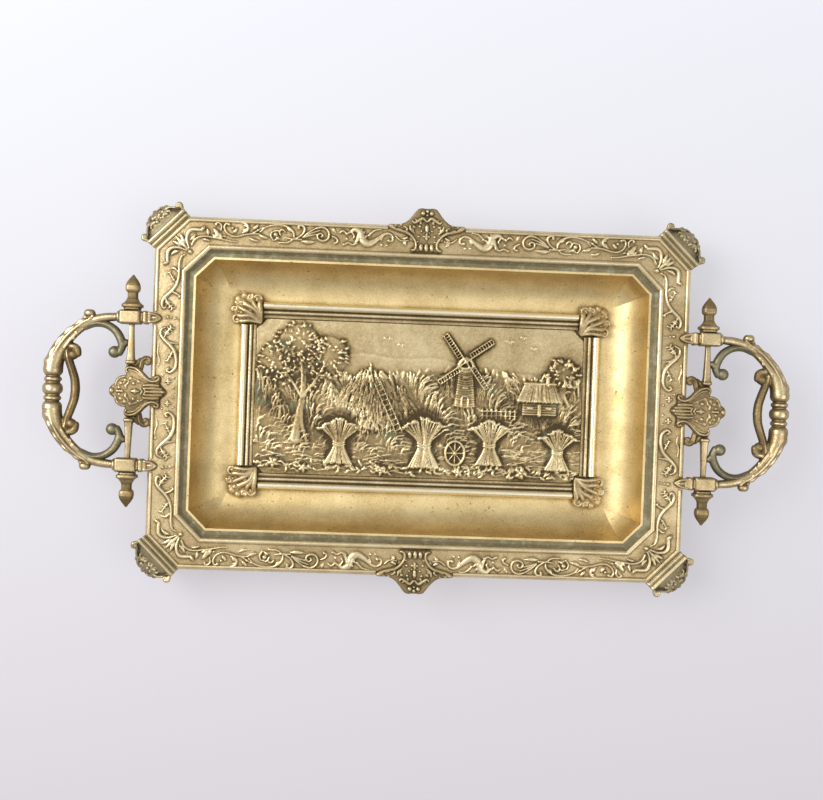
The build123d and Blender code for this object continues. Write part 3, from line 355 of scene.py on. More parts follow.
class Relief:
    """A height map over a rectangle, in millimetres, on which strokes, leaves and beads are raised."""

    def __init__(self, low, high, step, spread=1.0):
        self.step = step
        self.spread = spread
        self.low = np.array(low, float)
        self.x = np.arange(low[0], high[0] + step / 2, step)
        self.y = np.arange(low[1], high[1] + step / 2, step)
        self.height = np.zeros((len(self.y), len(self.x)))

    def window(self, low, high):
        """Rows and columns that cover a rectangle, and their coordinates."""
        first = np.maximum(np.floor((np.array(low) - self.low) / self.step).astype(int), 0)
        last = np.ceil((np.array(high) - self.low) / self.step).astype(int) + 1
        columns = slice(first[0], max(last[0], 0))
        rows = slice(first[1], max(last[1], 0))
        grid_x, grid_y = np.meshgrid(self.x[columns], self.y[rows])
        return (rows, columns), grid_x, grid_y

    def lift(self, region, form):
        self.height[region] = np.maximum(self.height[region], form)

    def stroke(self, points, widths, height, groove=0.0, steps=8):
        """A rounded stroke along a smooth path; widths are half-widths spread evenly along it."""
        path = smooth_path(points, steps)
        place = np.linspace(0, 1, len(path))
        half = np.interp(place, np.linspace(0, 1, len(widths)), widths) * self.spread
        for a, b, wa, wb in zip(path[:-1], path[1:], half[:-1], half[1:]):
            reach = max(wa, wb) + self.step
            region, grid_x, grid_y = self.window(np.minimum(a, b) - reach, np.maximum(a, b) + reach)
            if grid_x.size == 0:
                continue
            run = b - a
            length = max(run @ run, 1e-9)
            t = np.clip(((grid_x - a[0]) * run[0] + (grid_y - a[1]) * run[1]) / length, 0, 1)
            away = np.hypot(grid_x - a[0] - t * run[0], grid_y - a[1] - t * run[1])
            wide = np.maximum(wa + (wb - wa) * t, 0.05)
            across = away / wide
            tall = height * np.minimum(1, wide / (max(widths) * self.spread)) ** 0.5
            form = tall * np.sqrt(np.clip(1 - across**2, 0, 1))
            if groove:
                form = form * (1 - groove * np.exp(-((across / 0.28) ** 2)))
            self.lift(region, form)

    def disc(self, centre, radius):
        """The cells round a centre, and how far they lie from it, as a share of radius."""
        region, grid_x, grid_y = self.window(np.array(centre) - radius, np.array(centre) + radius)
        return region, np.hypot(grid_x - centre[0], grid_y - centre[1]) / radius

    def clear(self, centre, radius, kept):
        """Lowers what lies within radius to a share of its height."""
        region, away = self.disc(centre, radius)
        self.height[region] *= kept + (1 - kept) * np.clip(away * 4 - 3, 0, 1)

    def bead(self, centre, radius, height):
        region, away = self.disc(centre, radius)
        self.lift(region, height * np.sqrt(np.clip(1 - away**2, 0, 1)))

    def leaf(self, root, tip, width, height, bend=0.0, groove=0.45):
        """A pointed leaf with a midrib groove; bend bows it to the left of its direction."""
        root, tip = np.array(root, float), np.array(tip, float)
        side = np.array([-(tip - root)[1], (tip - root)[0]])
        middle = (root + tip) / 2 + side * bend
        self.stroke([root, middle, tip], [width * 0.3, width, width * 0.8, 0.1], height, groove)

    def acanthus(self, points, width, height, lobes=4, reach=1.6):
        """A stem with lobes curling off both sides, larger towards its end."""
        path = smooth_path(points)
        self.stroke(points, [width * 0.5, width, width * 0.7], height)
        for number in range(lobes):
            place = 0.35 + 0.6 * number / max(lobes - 1, 1)
            at = path[int(place * (len(path) - 1))]
            ahead = path[min(int(place * (len(path) - 1)) + 1, len(path) - 1)] - at
            ahead = ahead / max(np.linalg.norm(ahead), 1e-6)
            for side in (-1, 1):
                out = np.array([-ahead[1], ahead[0]]) * side
                size = width * reach * (0.75 + 0.5 * place)
                mid = at + (ahead * 0.5 + out * 0.7) * size
                tip = at + (ahead * 0.7 + out * 1.35) * size
                self.stroke([at, mid, tip], [width * 0.55, width * 0.6, width * 0.3], height * 0.9)

    def flower(self, centre, radius, height, petals=4, turn=0.0):
        for number in range(petals):
            angle = math.radians(turn + 360 * number / petals)
            out = np.array([math.cos(angle), math.sin(angle)])
            self.stroke(
                [np.array(centre) + out * radius * 0.3, np.array(centre) + out * radius],
                [radius * 0.28, radius * 0.42, radius * 0.3],
                height,
                groove=0.35,
            )
        self.bead(centre, radius * 0.34, height * 1.25)

    def draw(self, strokes=(), leaves=(), beads=(), put=lambda points: points):
        """Raises tables of strokes, leaves and beads; put moves their points to their place.

        A row holds the arguments of the form, but the points of a leaf or bead stand in a list.
        """
        for points, *form in strokes:
            self.stroke(put(points), *form)
        for points, *form in leaves:
            self.leaf(*put(points), *form)
        for x, y, *form in beads:
            self.bead(put([(x, y)])[0], *form)


def relief_wear_and_shading(relief, ground, contrast=1.0):
    """High points bright, rubbed and given a painted highlight; the ground and the edges of hollows dark,
    patina with painted shade round the foot of each form.
    """
    near = relief.height - blur(relief.height, 2)
    far = relief.height - blur(relief.height, 7)
    tall = np.clip(relief.height / max(np.percentile(relief.height, 97), 0.05), 0, 1)
    return ground + 0.12 * tall + contrast * (0.54 * near + 0.12 * far)


def grid_mesh(name, points, quads, wear_and_shading):
    """Mesh from points in millimetres; a face whose last two corners are one point is a triangle."""
    mesh = bpy.data.meshes.new(name)
    mesh.vertices.add(len(points))
    mesh.vertices.foreach_set("co", (points * MM).ravel())
    kept = np.ones(quads.shape, bool)
    kept[:, 3] = quads[:, 3] != quads[:, 2]
    sizes = kept.sum(1)
    mesh.loops.add(int(sizes.sum()))
    mesh.loops.foreach_set("vertex_index", quads[kept].astype(np.int32))
    mesh.polygons.add(len(quads))
    mesh.polygons.foreach_set("loop_start", (np.cumsum(sizes) - sizes).astype(np.int32))
    mesh.polygons.foreach_set("use_smooth", np.ones(len(quads), bool))
    mesh.update(calc_edges=True)
    set_wear_and_shading(mesh, wear_and_shading)
    return mesh


# ---- The ornament band of the rim ----
def draw_dragon(band):
    """The beast beside each crest: a curled tail, a crested body on two legs and a snout."""
    tail = [(24, 101.8), (21.9, 102.6), (21.8, 105.4), (24.2, 107), (27.4, 106.4), (30.4, 104)]
    tail += [(33.6, 101.6), (37.2, 100), (40.4, 101.6), (41.8, 105)]
    strokes = (
        (tail, [0.8, 0.85, 0.95, 1.2, 1.9, 2.6, 2.5], 1.3),
        ([(41.6, 104), (42.6, 107), (46, 108.6), (49, 107)], [2.4, 2.3, 1.7, 1.0], 1.45),
        ([(43.2, 105), (44.4, 102), (46, 99.6)], [1.9, 1.2, 0.9], 1.3),
        ([(44.8, 100), (47.2, 98.9), (50, 100), (52.4, 99)], [0.9, 0.7, 0.7, 0.8], 1.2),
        ([(47.8, 106.6), (46.4, 104.4), (47.2, 102.8)], [0.8, 0.7, 0.4], 1.1),
        ([(49.4, 106.6), (51.4, 106), (53.6, 107.5), (55.8, 106.1)], [0.9, 0.7, 0.9, 0.5], 1.2),
        ([(29.4, 109.6), (33.4, 108.6), (35.6, 106.8), (37.4, 105)], [0.5, 0.7, 0.8, 0.6], 1.1),
        ([(19.6, 105.4), (17.4, 103.4), (15.2, 102.6), (11.6, 103.2)], [0.5, 0.7, 0.6, 0.5], 1.0),
    )
    leaves = (
        ([(44, 107.6), (41.2, 110)], 0.9, 1.2, 0.15),
        ([(42.4, 106), (39.2, 108.4)], 0.9, 1.2, 0.15),
        ([(40.8, 103.4), (38, 106)], 0.9, 1.2, 0.15),
        ([(29.2, 101.8), (27.4, 104.8)], 0.9, 0.9, -0.2),
        ([(15.6, 104), (11.4, 106.2)], 1.0, 1.0, 0.1),
        ([(14.8, 102.4), (12.4, 99.8)], 0.9, 0.9, 0.1),
    )
    beads = (
        (24.2, 102.4, 1.3, 1.4),
        (53, 98.9, 1.0, 1.1),
        (51.2, 105.7, 1.15, 1.4),
        (36.8, 105.4, 1.0, 1.1),
        (28.6, 99.6, 0.9, 0.6),
        (25.4, 99.4, 0.9, 0.6),
        (31.6, 109.2, 0.9, 0.6),
        (51, 102.6, 0.9, 0.6),
        (13.3, 101.6, 0.9, 1.2),
    )
    band.draw(strokes, leaves, beads)


def draw_long_side(band):
    """Scrolling foliage from the dragon to the corner of a long side."""
    curl = [(70.6, 108.4), (67, 109.2), (63.7, 107.6), (62.4, 104.6), (63.6, 101.6), (66.6, 100.5)]
    curl += [(69.5, 101.9), (69.8, 104.2), (67.9, 105.2), (66.4, 104), (67.2, 103)]
    hook = [(82.3, 107.6), (82.1, 109.3), (79.9, 109.8), (78.2, 108), (78.7, 105.4), (80.8, 103), (84, 101.2)]
    arc = [(106.4, 104.6), (103.2, 107.6), (98, 109.3), (93, 109.6), (89.4, 108.6), (86.6, 106.8)]
    arc += [(85, 104.4), (84.8, 102.2)]
    vine = [(126.3, 108.2), (127.8, 109.1), (129.2, 107.4), (128.8, 105), (127, 102.7), (124, 101.2)]
    vine += [(120.4, 101.2), (116.6, 102.3), (112.6, 103.1), (107, 103.3)]
    stem = [(149.6, 94.4), (148.3, 97.2), (145.4, 99.6), (141, 100.4), (136, 99.8), (130.4, 99)]
    stem += [(125, 97.9), (120.4, 97.6)]
    bud = [(118.2, 109.9), (115.4, 109.3), (114.2, 107), (115.2, 104.8), (118, 103.4)]
    strokes = (
        ([(60.6, 103.8), (57.9, 102.6), (56.9, 100.6), (58.4, 99.2)], [0.6, 0.8, 0.8, 0.7], 1.1),
        (curl, [0.8, 0.85, 0.85, 0.8, 0.7, 0.6], 1.25),
        ([(79.2, 102.4), (76, 105.2), (70.6, 108.6)], [0.4, 0.65, 0.5], 1.0),
        ([(79, 102.2), (74.6, 104.8), (68.4, 107.2)], [0.4, 0.65, 0.5], 1.0),
        ([(78.8, 102), (74.4, 103.6), (70.6, 104.6)], [0.4, 0.65, 0.5], 1.0),
        (hook, [0.7, 0.8, 0.95, 0.95, 0.7, 0.6], 1.2),
        ([(90, 101.7), (86.6, 101), (80, 100.9)], [0.4, 0.6, 0.6], 1.0),
        ([(94, 98.4), (88.8, 98.6), (86.4, 100), (84.4, 101.2)], [0.4, 0.7, 0.6, 0.5], 1.0),
        (arc, [0.5, 0.65, 0.75, 0.8, 1.0, 0.9, 0.6], 1.15),
        ([(98.8, 105.2), (99.7, 102.6), (98, 99.6)], [0.6, 0.8, 0.6], 1.1),
        ([(98.4, 105.2), (95, 105.8), (93.4, 103)], [0.5, 0.8, 0.6], 1.1),
        ([(94.4, 104.8), (93.4, 106.3), (91.6, 106.4), (90.4, 104.8)], [0.6, 0.8, 0.8, 0.5], 1.15),
        (vine, [0.75, 0.75, 0.7, 0.65, 0.65, 0.5], 1.1),
        (bud, [0.5, 0.9, 1.1, 1.1, 0.6], 1.2),
        ([(112.4, 103.2), (109, 104.8), (106, 106.8), (102.8, 108)], [0.4, 0.6, 0.5, 0.3], 1.0),
        ([(131.4, 104.6), (131, 107.6), (133, 109.4), (135, 108.6)], [0.4, 0.65, 0.7, 0.6], 1.05),
        (stem, [0.7, 0.75, 0.7, 0.65, 0.6, 0.4], 1.05),
    )
    leaves = (
        ([(60, 109.2), (58.4, 105.8)], 1.0, 0.6),
        ([(80, 99.8), (70.4, 100)], 1.4, 1.2, 0.04, 0.2),
        ([(78, 99.4), (74, 98.2)], 0.8, 1.0),
        ([(89, 108.4), (86, 105.6)], 1.2, 1.25, 0.1),
        ([(97.6, 99.4), (92.6, 100.6)], 0.8, 1.0, -0.15),
        ([(107.2, 103), (100.8, 101)], 1.25, 1.25, 0.08, 0.2),
        ([(115, 106.4), (117.6, 104.2)], 1.1, 1.2),
        ([(114.6, 107.6), (117.2, 108.6)], 0.8, 1.1),
        ([(111, 106.2), (107.4, 109.8)], 1.2, 1.25, 0.05),
        ([(132.2, 99.6), (136.8, 106.2)], 1.7, 1.3, 0.06, 0.25),
        ([(133, 100), (137.4, 101.9)], 1.1, 1.2),
        ([(130.4, 99.4), (131.8, 103.4)], 1.2, 1.2, -0.1),
        ([(129.8, 101), (127.8, 100.6)], 0.6, 0.9),
        ([(139.4, 101), (140.6, 106)], 1.15, 1.15, 0.1),
        ([(123.6, 103.4), (121, 107)], 1.2, 1.2, 0.1),
        ([(113, 100.4), (106.4, 98.8)], 0.95, 1.05, 0.08),
        ([(143, 98.6), (137.4, 97.2)], 0.9, 1.05, -0.06),
    )
    beads = (
        (58.6, 99.5, 1.0, 1.2),
        (81.9, 108, 1.15, 1.4),
        (96.5, 103.3, 1.6, 1.4),
        (95.2, 101.1, 1.35, 1.3),
        (126.3, 108.5, 1.05, 1.3),
        (107.6, 105.8, 1.0, 1.2),
        (134.4, 108, 0.9, 1.15),
        (124, 106.4, 1.1, 1.25),
    )
    band.draw(strokes, leaves, beads)


def draw_corner(band):
    """The palmette over a cut corner, between two scrolls; one half is the other's mirror image."""
    middle = np.array((147.3, 87.1))
    scroll = [(151.2, 92.6), (152.7, 97), (152.5, 101.4), (150.4, 104.1), (146.6, 104.5), (143.4, 104.3)]
    leaves = (
        ([(153.8, 95), (157.2, 102.2)], 1.3, 1.2, 0, 0.3),
        ([(150.9, 97.2), (147.3, 102.6)], 1.2, 1.2, 0.1, 0.3),
    )
    beads = (
        (142.7, 105.3, 1.35, 1.35),
        (141.9, 106.4, 0.8, 1.0),
        (150.3, 98.1, 0.75, 1.3),
        (153.2, 99.4, 0.5, 0.8),
    )
    for turn in (1, -1):
        strokes = ((scroll, [0.6, 0.9, 1.1, 1.25, 1.15, 1.0], 1.2, 0.2),)
        band.draw(strokes, leaves, beads, lambda points: middle + (np.array(points) - middle)[:, ::turn])
    band.leaf((151.6, 91.4), (160.6, 100.4), 1.35, 1.25, 0, 0.3)
    band.bead((150.4, 90.2), 1.5, 1.3)


def draw_short_side(band):
    """Two acanthus-headed scrolls on each half of a short side."""
    outer = [(153.4, 88.6), (156, 86.6), (157, 82), (157, 75), (158.4, 69), (161.6, 64.4), (165.6, 60.4)]
    outer += [(167.2, 56.6), (166, 53.6), (164.6, 54.4)]
    inner = [(164.4, 41.6), (167, 40), (167.2, 36.8), (164.8, 33.6), (161, 30), (158.4, 26.6), (157, 21.6)]
    inner += [(157.4, 16), (160.4, 12.9), (162.8, 14), (161.6, 15.6)]
    strokes = (
        (outer, [0.5, 0.8, 0.8, 1.1, 1.3, 1.0, 0.6], 1.2),
        ([(161.4, 64.2), (158.6, 63.4), (156, 61.6), (156.8, 60.6)], [0.7, 0.8, 0.7, 0.5], 1.0),
        ([(158.6, 47.6), (156.6, 47)], [0.5, 0.3], 0.6),
        (inner, [0.6, 0.9, 1.4, 1.3, 1.1, 0.9, 0.6], 1.2),
        ([(163.6, 33.6), (160.8, 31.9), (156.4, 31.2)], [0.5, 0.7, 0.4], 0.9),
        ([(168.6, 30), (168.9, 25), (167.6, 20.6), (168.4, 16.6)], [0.3, 0.5, 0.5, 0.3], 0.6),
    )
    leaves = (([(157.6, 76.6), (163.4, 79)], 0.9, 0.9, 0.25),)
    beads = (
        (163.2, 48, 1.0, 0.9),
        (160.9, 47.8, 0.7, 0.8),
        (161.7, 15.2, 1.0, 1.2),
        (158, 3.2, 0.6, 0.7),
        (158, 9.4, 0.6, 0.7),
        (165, 10.4, 0.6, 0.7),
    )
    band.draw(strokes, leaves, beads)
    band.acanthus([(165, 60.6), (163.6, 57.2), (160.4, 53.6)], 0.85, 1.1, 4)
    band.acanthus([(158, 69.6), (160.4, 72.4), (163, 76.6)], 0.65, 0.9, 3)
    band.acanthus([(165, 35), (163.4, 38), (160.6, 41.6)], 0.85, 1.1, 4)
    band.acanthus([(159, 27.6), (160.4, 24), (162.6, 19.8)], 0.65, 0.95, 3)
    band.flower((161.6, 7), 1.7, 0.8, 4)


def inside_octagon(grid_x, grid_y, inset, cut):
    """True within the rim's outline moved inwards by inset."""
    far_x, far_y = half_length - inset, half_width - inset
    slant = np.abs(grid_x) + np.abs(grid_y) < far_x + far_y - cut
    return (np.abs(grid_x) < far_x) & (np.abs(grid_y) < far_y) & slant


def add_ornament_band():
    """The band as four pieces; one quarter is drawn and mirrored to the others."""
    step = 0.4
    lap = 0.9  # how far the band reaches under the mouldings
    band = Relief((0, 0), (half_length, half_width), step, spread=1.05)
    draw_dragon(band)
    draw_long_side(band)
    draw_corner(band)
    draw_short_side(band)
    rng = np.random.default_rng(7)
    band.height *= 1.25
    band.height += 0.06 * blur(rng.standard_normal(band.height.shape), 1)
    material = brass("rim_brass_carved", verdigris=0.5, grime_and_shade=1.6)
    grid_x, grid_y = np.meshgrid(band.x + step / 2, band.y + step / 2)
    outer = inside_octagon(grid_x, grid_y, outer_moulding - 1.0, corner_cut - 1.5)
    inner = inside_octagon(grid_x, grid_y, band_inner + lap, band_corner_cut - 0.8)
    ring = outer & ~inner
    ring[-1, :] = False
    ring[:, -1] = False
    end = grid_x > half_length - band_inner - lap
    whole = Relief((-half_length, -half_width), (half_length, half_width), step)
    whole.x = np.concatenate([-band.x[::-1], band.x[1:]])
    whole.y = np.concatenate([-band.y[:0:-1], band.y])
    right, left = band.height[:, 1:], band.height[:, ::-1]
    whole.height = np.block([[left[:0:-1], right[:0:-1]], [left, right]])
    wear_and_shading = relief_wear_and_shading(whole, 0.58, 0.82)
    centre_x, centre_y = np.meshgrid((whole.x[:-1] + whole.x[1:]) / 2, (whole.y[:-1] + whole.y[1:]) / 2)
    for name, across, sign, keep in (
        ("back", centre_y, 1, ring & ~end),
        ("front", centre_y, -1, ring & ~end),
        ("right", centre_x, 1, ring & end),
        ("left", centre_x, -1, ring & end),
    ):
        cells = keep[:-1, :-1]
        mask = np.block([[cells[::-1, ::-1], cells[::-1]], [cells[:, ::-1], cells]])
        shape = relief_shape(whole, mask & (across * sign > 0), band_level, 0.5, wear_and_shading)
        mesh = grid_mesh(f"rim_ornament_{name}", *shape)
        finish_piece(f"rim_ornament_{name}", mesh, material)


# ---- Carved plates: crests, cartouches and corner bosses ----
def inside_outline(outline, grid_x, grid_y):
    """True where a point lies within a closed outline."""
    inside = np.zeros(grid_x.shape, bool)
    for (ax, ay), (bx, by) in zip(outline, np.roll(outline, -1, axis=0)):
        crosses = (ay > grid_y) != (by > grid_y)
        inside ^= crosses & (grid_x < (bx - ax) * (grid_y - ay) / (by - ay + 1e-9) + ax)
    return inside


def mirrored_outline(half, across):
    """Closed outline from its half on one side of the axis; across is the axis's index, 0 for x."""
    half = smooth_path(half, 6)
    other = half[::-1].copy()
    other[:, across] *= -1
    return np.concatenate([half, other])


def carve_plate(relief, outline, level, plate, edge, ground):
    """A plate of the given height map over a flat underside, cut to its outline, with a rounded edge."""
    grid_x, grid_y = np.meshgrid(relief.x, relief.y)
    mask = inside_outline(outline, grid_x, grid_y)
    near = blur(mask.astype(float), max(int(edge / relief.step), 1))
    roll = np.sqrt(np.clip((near - 0.42) / 0.5, 0, 1))
    carving = relief.height * np.clip((near - 0.4) / 0.3, 0, 1)
    wear_and_shading = relief_wear_and_shading(relief, ground)
    relief.height = plate(grid_x, grid_y) * (0.35 + 0.65 * roll) + carving
    cells = mask[:-1, :-1] & mask[1:, :-1] & mask[:-1, 1:] & mask[1:, 1:]
    # The level drops towards the outline as the rounded edge turns down, a painted shade.
    return relief_shape(relief, cells, level, 0.0, wear_and_shading + 0.12 * (roll - 1))


def relief_shape(relief, keep, level, thickness, wear_and_shading, fan=False):
    """Points, faces and level of wear and painted shading of the cells that keep marks, closed below, its
    stepped edge smoothed.

    With fan, the underside is a fan about the middle, which suits an outline that is seen whole from there.
    """
    rows, columns = np.nonzero(keep)
    wide = relief.height.shape[1]
    corner = rows * wide + columns
    quads = np.stack([corner, corner + 1, corner + wide + 1, corner + wide], 1)
    used, quads = np.unique(quads, return_inverse=True)
    quads = quads.reshape(-1, 4)
    grid_x, grid_y = np.meshgrid(relief.x, relief.y)
    top = np.stack([grid_x.ravel(), grid_y.ravel(), level + relief.height.ravel()], 1)[used]
    edges = np.concatenate([quads[:, [k, (k + 1) % 4]] for k in range(4)])
    _, first, times = np.unique(np.sort(edges, 1), axis=0, return_index=True, return_counts=True)
    rim = edges[first[times == 1]]
    for _ in range(6):
        total = np.zeros((len(top), 3))
        share = np.zeros(len(top))
        for a, b in ((0, 1), (1, 0)):
            np.add.at(total, rim[:, a], top[rim[:, b]])
            np.add.at(share, rim[:, a], 1)
        edge = share > 0
        top[edge, :2] = (0.5 * top + 0.5 * total / np.maximum(share, 1)[:, None])[edge, :2]
    wear_and_shading = wear_and_shading.ravel()[used]
    count = len(used)
    if fan:
        outer, rank = np.unique(rim, return_inverse=True)
        rank = rank.reshape(-1, 2) + count
        low = np.vstack([top[outer], top[outer].mean(0)])
        low[:, 2] = level - thickness
        middle = np.full(len(rim), count + len(outer))
        walls = np.stack([rim[:, 1], rim[:, 0], rank[:, 0], rank[:, 1]], 1)
        below = np.stack([rank[:, 1], rank[:, 0], middle, middle], 1)
        faces = np.concatenate([quads, walls, below])
        return np.concatenate([top, low]), faces, np.concatenate([wear_and_shading, wear_and_shading[outer], [0.0]])
    low = top.copy()
    low[:, 2] = level - thickness
    walls = np.stack([rim[:, 1], rim[:, 0], rim[:, 0] + count, rim[:, 1] + count], 1)
    faces = np.concatenate([quads, quads[:, ::-1] + count, walls])
    return np.concatenate([top, low]), faces, np.concatenate([wear_and_shading, wear_and_shading])


def flipped(shape, flip_x, flip_y):
    """A shape mirrored across the tray's length, width or both."""
    points, faces, wear_and_shading = shape
    points = points * np.array([-1 if flip_x else 1, -1 if flip_y else 1, 1])
    return points, faces[:, ::-1] if flip_x != flip_y else faces, wear_and_shading


def add_copies(shape, name, material, copies):
    """Adds a shape and its mirror images; each copy replaces the CAD node of its name."""
    for ending, flip_x, flip_y in copies:
        mesh = grid_mesh(f"{name}_{ending}", *flipped(shape, flip_x, flip_y))
        finish_piece(f"carved_{name}_{ending}", mesh, material, (f"{name}_{ending}",))


QUARTERS = (
    ("back_right", False, False),
    ("back_left", True, False),
    ("front_right", False, True),
    ("front_left", True, True),
)
SIDES = (("right", False, False), ("left", True, True))
ENDS = (("back", False, False), ("front", False, True))


def add_crests():
    """A bell-shaped plate with a bevelled border, brows, a drop, eggs and two framing scrolls."""
    low, high = box_mm("crest_back")
    relief = Relief((-26, low[1] - 0.5), (26, high[1] + 0.5), 0.3, spread=1.25)
    base = half_width
    half = [(0, 11.1), (4.6, 11.2), (6.6, 10.2), (10, 5.8), (13.2, 2.5), (17, 0.7), (21.5, 0.6), (24.6, 0.4)]
    half += [(25, -1.2), (22, -3.4), (17, -4.9), (12, -6.5), (8.6, -10), (7.8, -13), (11, -15.6), (8.6, -17)]
    half += [(5.4, -16.9), (0, -16.9)]
    outline = mirrored_outline(half, 0) + (0, base)
    rib = [(24.6, -0.4), (21, -3), (17, -4.2), (13, -4.8), (9.6, -7.2), (7, -11), (6.9, -14.6), (9, -16.2)]
    rib += [(10.9, -15), (10.2, -13.6)]
    strokes = (
        (rib, [0.9, 0.95, 0.9, 0.75, 0.7, 0.6], 1.1),
        ([(0.4, 2.6), (2.8, 4.5), (5.6, 3), (8, 1.6), (9.4, 2.6)], [0.6, 1.0, 0.9, 0.8, 0.5], 1.3),
        ([(6, 2.4), (7.4, 3.8)], [0.7, 0.4], 1.2),
        ([(10.8, -0.4), (10.2, -2.8), (8, -5)], [0.5, 0.9, 0.5], 1.0),
        ([(14.6, -1), (12.6, -2.6), (13.4, -4)], [0.4, 0.7, 0.4], 0.9),
        ([(3.4, -12.8), (3.4, -15.6)], [1.0, 1.25, 0.8], 1.4),
    )
    leaves = (([(24.8, -0.2), (18.6, -4.2)], 1.5, 1.3), ([(20, -3), (13.6, -5)], 1.4, 1.2))
    beads = (
        (4.6, -0.6, 1.0, 1.1),
        (3.4, -3.6, 0.8, 0.9),
        (5.2, -7.1, 1.0, 1.0),
        (5.6, -10.4, 0.7, 0.9),
        (2.7, 7.7, 1.55, 1.5),
        (1.6, -4.6, 0.6, 0.8),
    )
    sprigs = ((13, 2.4, 30), (16.6, -0.6, 60), (9.6, -4.4, 100))
    sprigs += ((19.4, -0.8, 10), (4.2, 0.6, 70), (7.6, -1.6, 20))
    for sign in (-1, 1):
        relief.draw(strokes, leaves, beads, lambda points: [(sign * x, base + y) for x, y in points])
        for x, y, lean in sprigs:
            aim_x, aim_y = 3.0 * math.cos(math.radians(lean)), 3.0 * math.sin(math.radians(lean))
            root, tip = (sign * x, base + y), (sign * (x + aim_x * 0.6), base + y + aim_y)
            relief.leaf(root, tip, 0.8, 0.9, 0.15 * sign)
    strokes = (
        ([(0, 0.8), (0, -1), (0, -3.4)], [0.4, 1.2, 1.0], 1.7),
        ([(0, -12.6), (0, -15.8)], [1.0, 1.3, 0.9], 1.5),
    )
    beads = ((0, 8.9, 1.25, 1.5), (0, 6.6, 0.9, 1.2))
    relief.draw(strokes, (), beads, lambda points: [(x, base + y) for x, y in points])
    relief.flower((0, base - 7), 1.9, 1.0, 4)

    def plate(grid_x, grid_y):
        """Dished: a rising border round a lower field."""
        away = np.hypot(grid_x / 13.5, (grid_y - base + 3) / 13.0)
        return 1.5 + 0.5 * np.clip((away - 0.55) / 0.45, 0, 1)

    relief.height *= 0.95
    shape = carve_plate(relief, outline, band_level, plate, 0.9, 0.4)
    material = brass("crest_brass", verdigris=0.25, dark=(0.075, 0.056, 0.026, 1))
    add_copies(shape, "crest", material, ENDS)


def add_cartouches():
    """A crowned shield with scrolled ribs, a star and a fluted tail."""
    low, high = box_mm("cartouche_right")
    half_wide = 17.5
    relief = Relief((low[0] - 1, -half_wide), (high[0] + 1.5, half_wide), 0.3, spread=1.45)
    half = [(162.4, 0), (163.4, 1.9), (165.6, 3.6), (166.8, 5.6), (166.2, 7.6), (166.6, 10.2), (168.4, 11.2)]
    half += [(170, 10), (172.6, 8.8), (175.8, 11.2), (179, 14.8), (183, 16.6), (187, 16.6), (189.2, 14.4)]
    half += [(188.6, 11.8), (187.6, 10.6), (191.4, 9.9), (194.3, 7.6), (195.2, 4.6), (197.2, 3.3)]
    half += [(198.3, 1.4), (198.4, 0)]
    outline = mirrored_outline(half, 1)
    rib = [(169.3, 9.4), (168.4, 10.3), (167, 9), (168.2, 7.2), (171.6, 6.6), (175, 8.4), (178.4, 11.8)]
    rib += [(182, 14.6), (186, 15.4), (188.2, 14), (187.4, 12.2)]
    strokes = (
        (rib, [0.6, 0.55, 0.55, 0.55, 0.5], 0.9),
        ([(174, 6.4), (178, 9.6), (182, 12.8), (186, 13.6)], [0.3, 0.45, 0.3], 0.5),
        ([(188.4, 9.6), (191.4, 8.6), (193.4, 6.4), (194, 3.6)], [0.5, 0.6, 0.5], 0.7),
        ([(186.2, 4.9), (187.6, 3.4), (187.2, 1.6)], [0.45, 0.7, 0.4], 1.0),
        ([(186.4, 4.6), (185.6, 6.6)], [0.5, 0.3], 0.9),
        ([(178.2, 1.9), (177, 0)], [0.4, 0.45], 0.8),
        ([(176.2, 2), (175, 0)], [0.4, 0.45], 0.8),
        ([(175.6, 2.1), (170, 2.2), (165.4, 1.9)], [0.5, 0.8, 0.6], 1.0),
        ([(176.2, 4), (171, 4.2), (167.4, 4)], [0.5, 0.8, 0.6], 1.0),
        ([(190, 4.4), (184, 8), (178, 6), (176.6, 5)], [0.3, 0.4, 0.3], 0.4),
    )
    beads = (
        (192.6, 7.4, 0.9, 1.0),
        (193.9, 4.9, 0.9, 1.0),
        (182.6, 5, 1.15, 1.0),
        (184.6, 8.2, 1.3, 0.7),
        (188, 7, 1.2, 0.7),
        (190.6, 5, 1.2, 0.7),
        (191.6, 2.2, 1.0, 0.7),
        (179.4, 6.2, 1.1, 0.7),
    )
    for sign in (-1, 1):
        relief.draw(strokes, (), beads, lambda points: [(x, sign * y) for x, y in points])
    strokes = (
        ([(178.6, 0), (181.6, 0), (184.8, 0)], [0.15, 1.0, 0.15], 1.5),
        ([(181.6, -2.2), (181.6, 0), (181.6, 2.2)], [0.1, 1.0, 0.1], 1.5),
        ([(189.4, 0.1), (193, 0.1)], [0.55, 0.55], 1.2),
        ([(174.6, 0), (169, 0), (163.4, 0)], [0.5, 0.9, 0.7], 1.1),
    )
    relief.draw(strokes, (), ((164.3, 0, 1.15, 1.6), (196.5, 0, 1.7, 1.4)))

    def plate(grid_x, grid_y):
        """Crowned across, higher over the bar than at the tail."""
        crown = 2.4 * np.clip(1 - (grid_y / half_wide) ** 2, 0, 1) + 0.6
        return crown * (0.72 + 0.28 * np.clip((grid_x - 166) / 12, 0, 1))

    relief.height *= 0.8
    shape = carve_plate(relief, outline, band_level, plate, 1.2, 0.36)
    material = brass("cartouche_brass", verdigris=0.2, dark=(0.085, 0.06, 0.028, 1))
    add_copies(shape, "cartouche", material, SIDES)


# ---- Castings in the round ----
def slab(rings):
    """A closed form through rings of equal length, one after another."""
    count = len(rings[0])
    points = [point for ring in rings for point in ring]
    faces = []
    for start in range(0, len(points) - count, count):
        for k in range(count):
            a, b = start + k, start + (k + 1) % count
            faces.append((a, b, b + count, a + count))
    faces.append(tuple(range(count))[::-1])
    faces.append(tuple(range(len(points) - count, len(points))))
    return points, faces


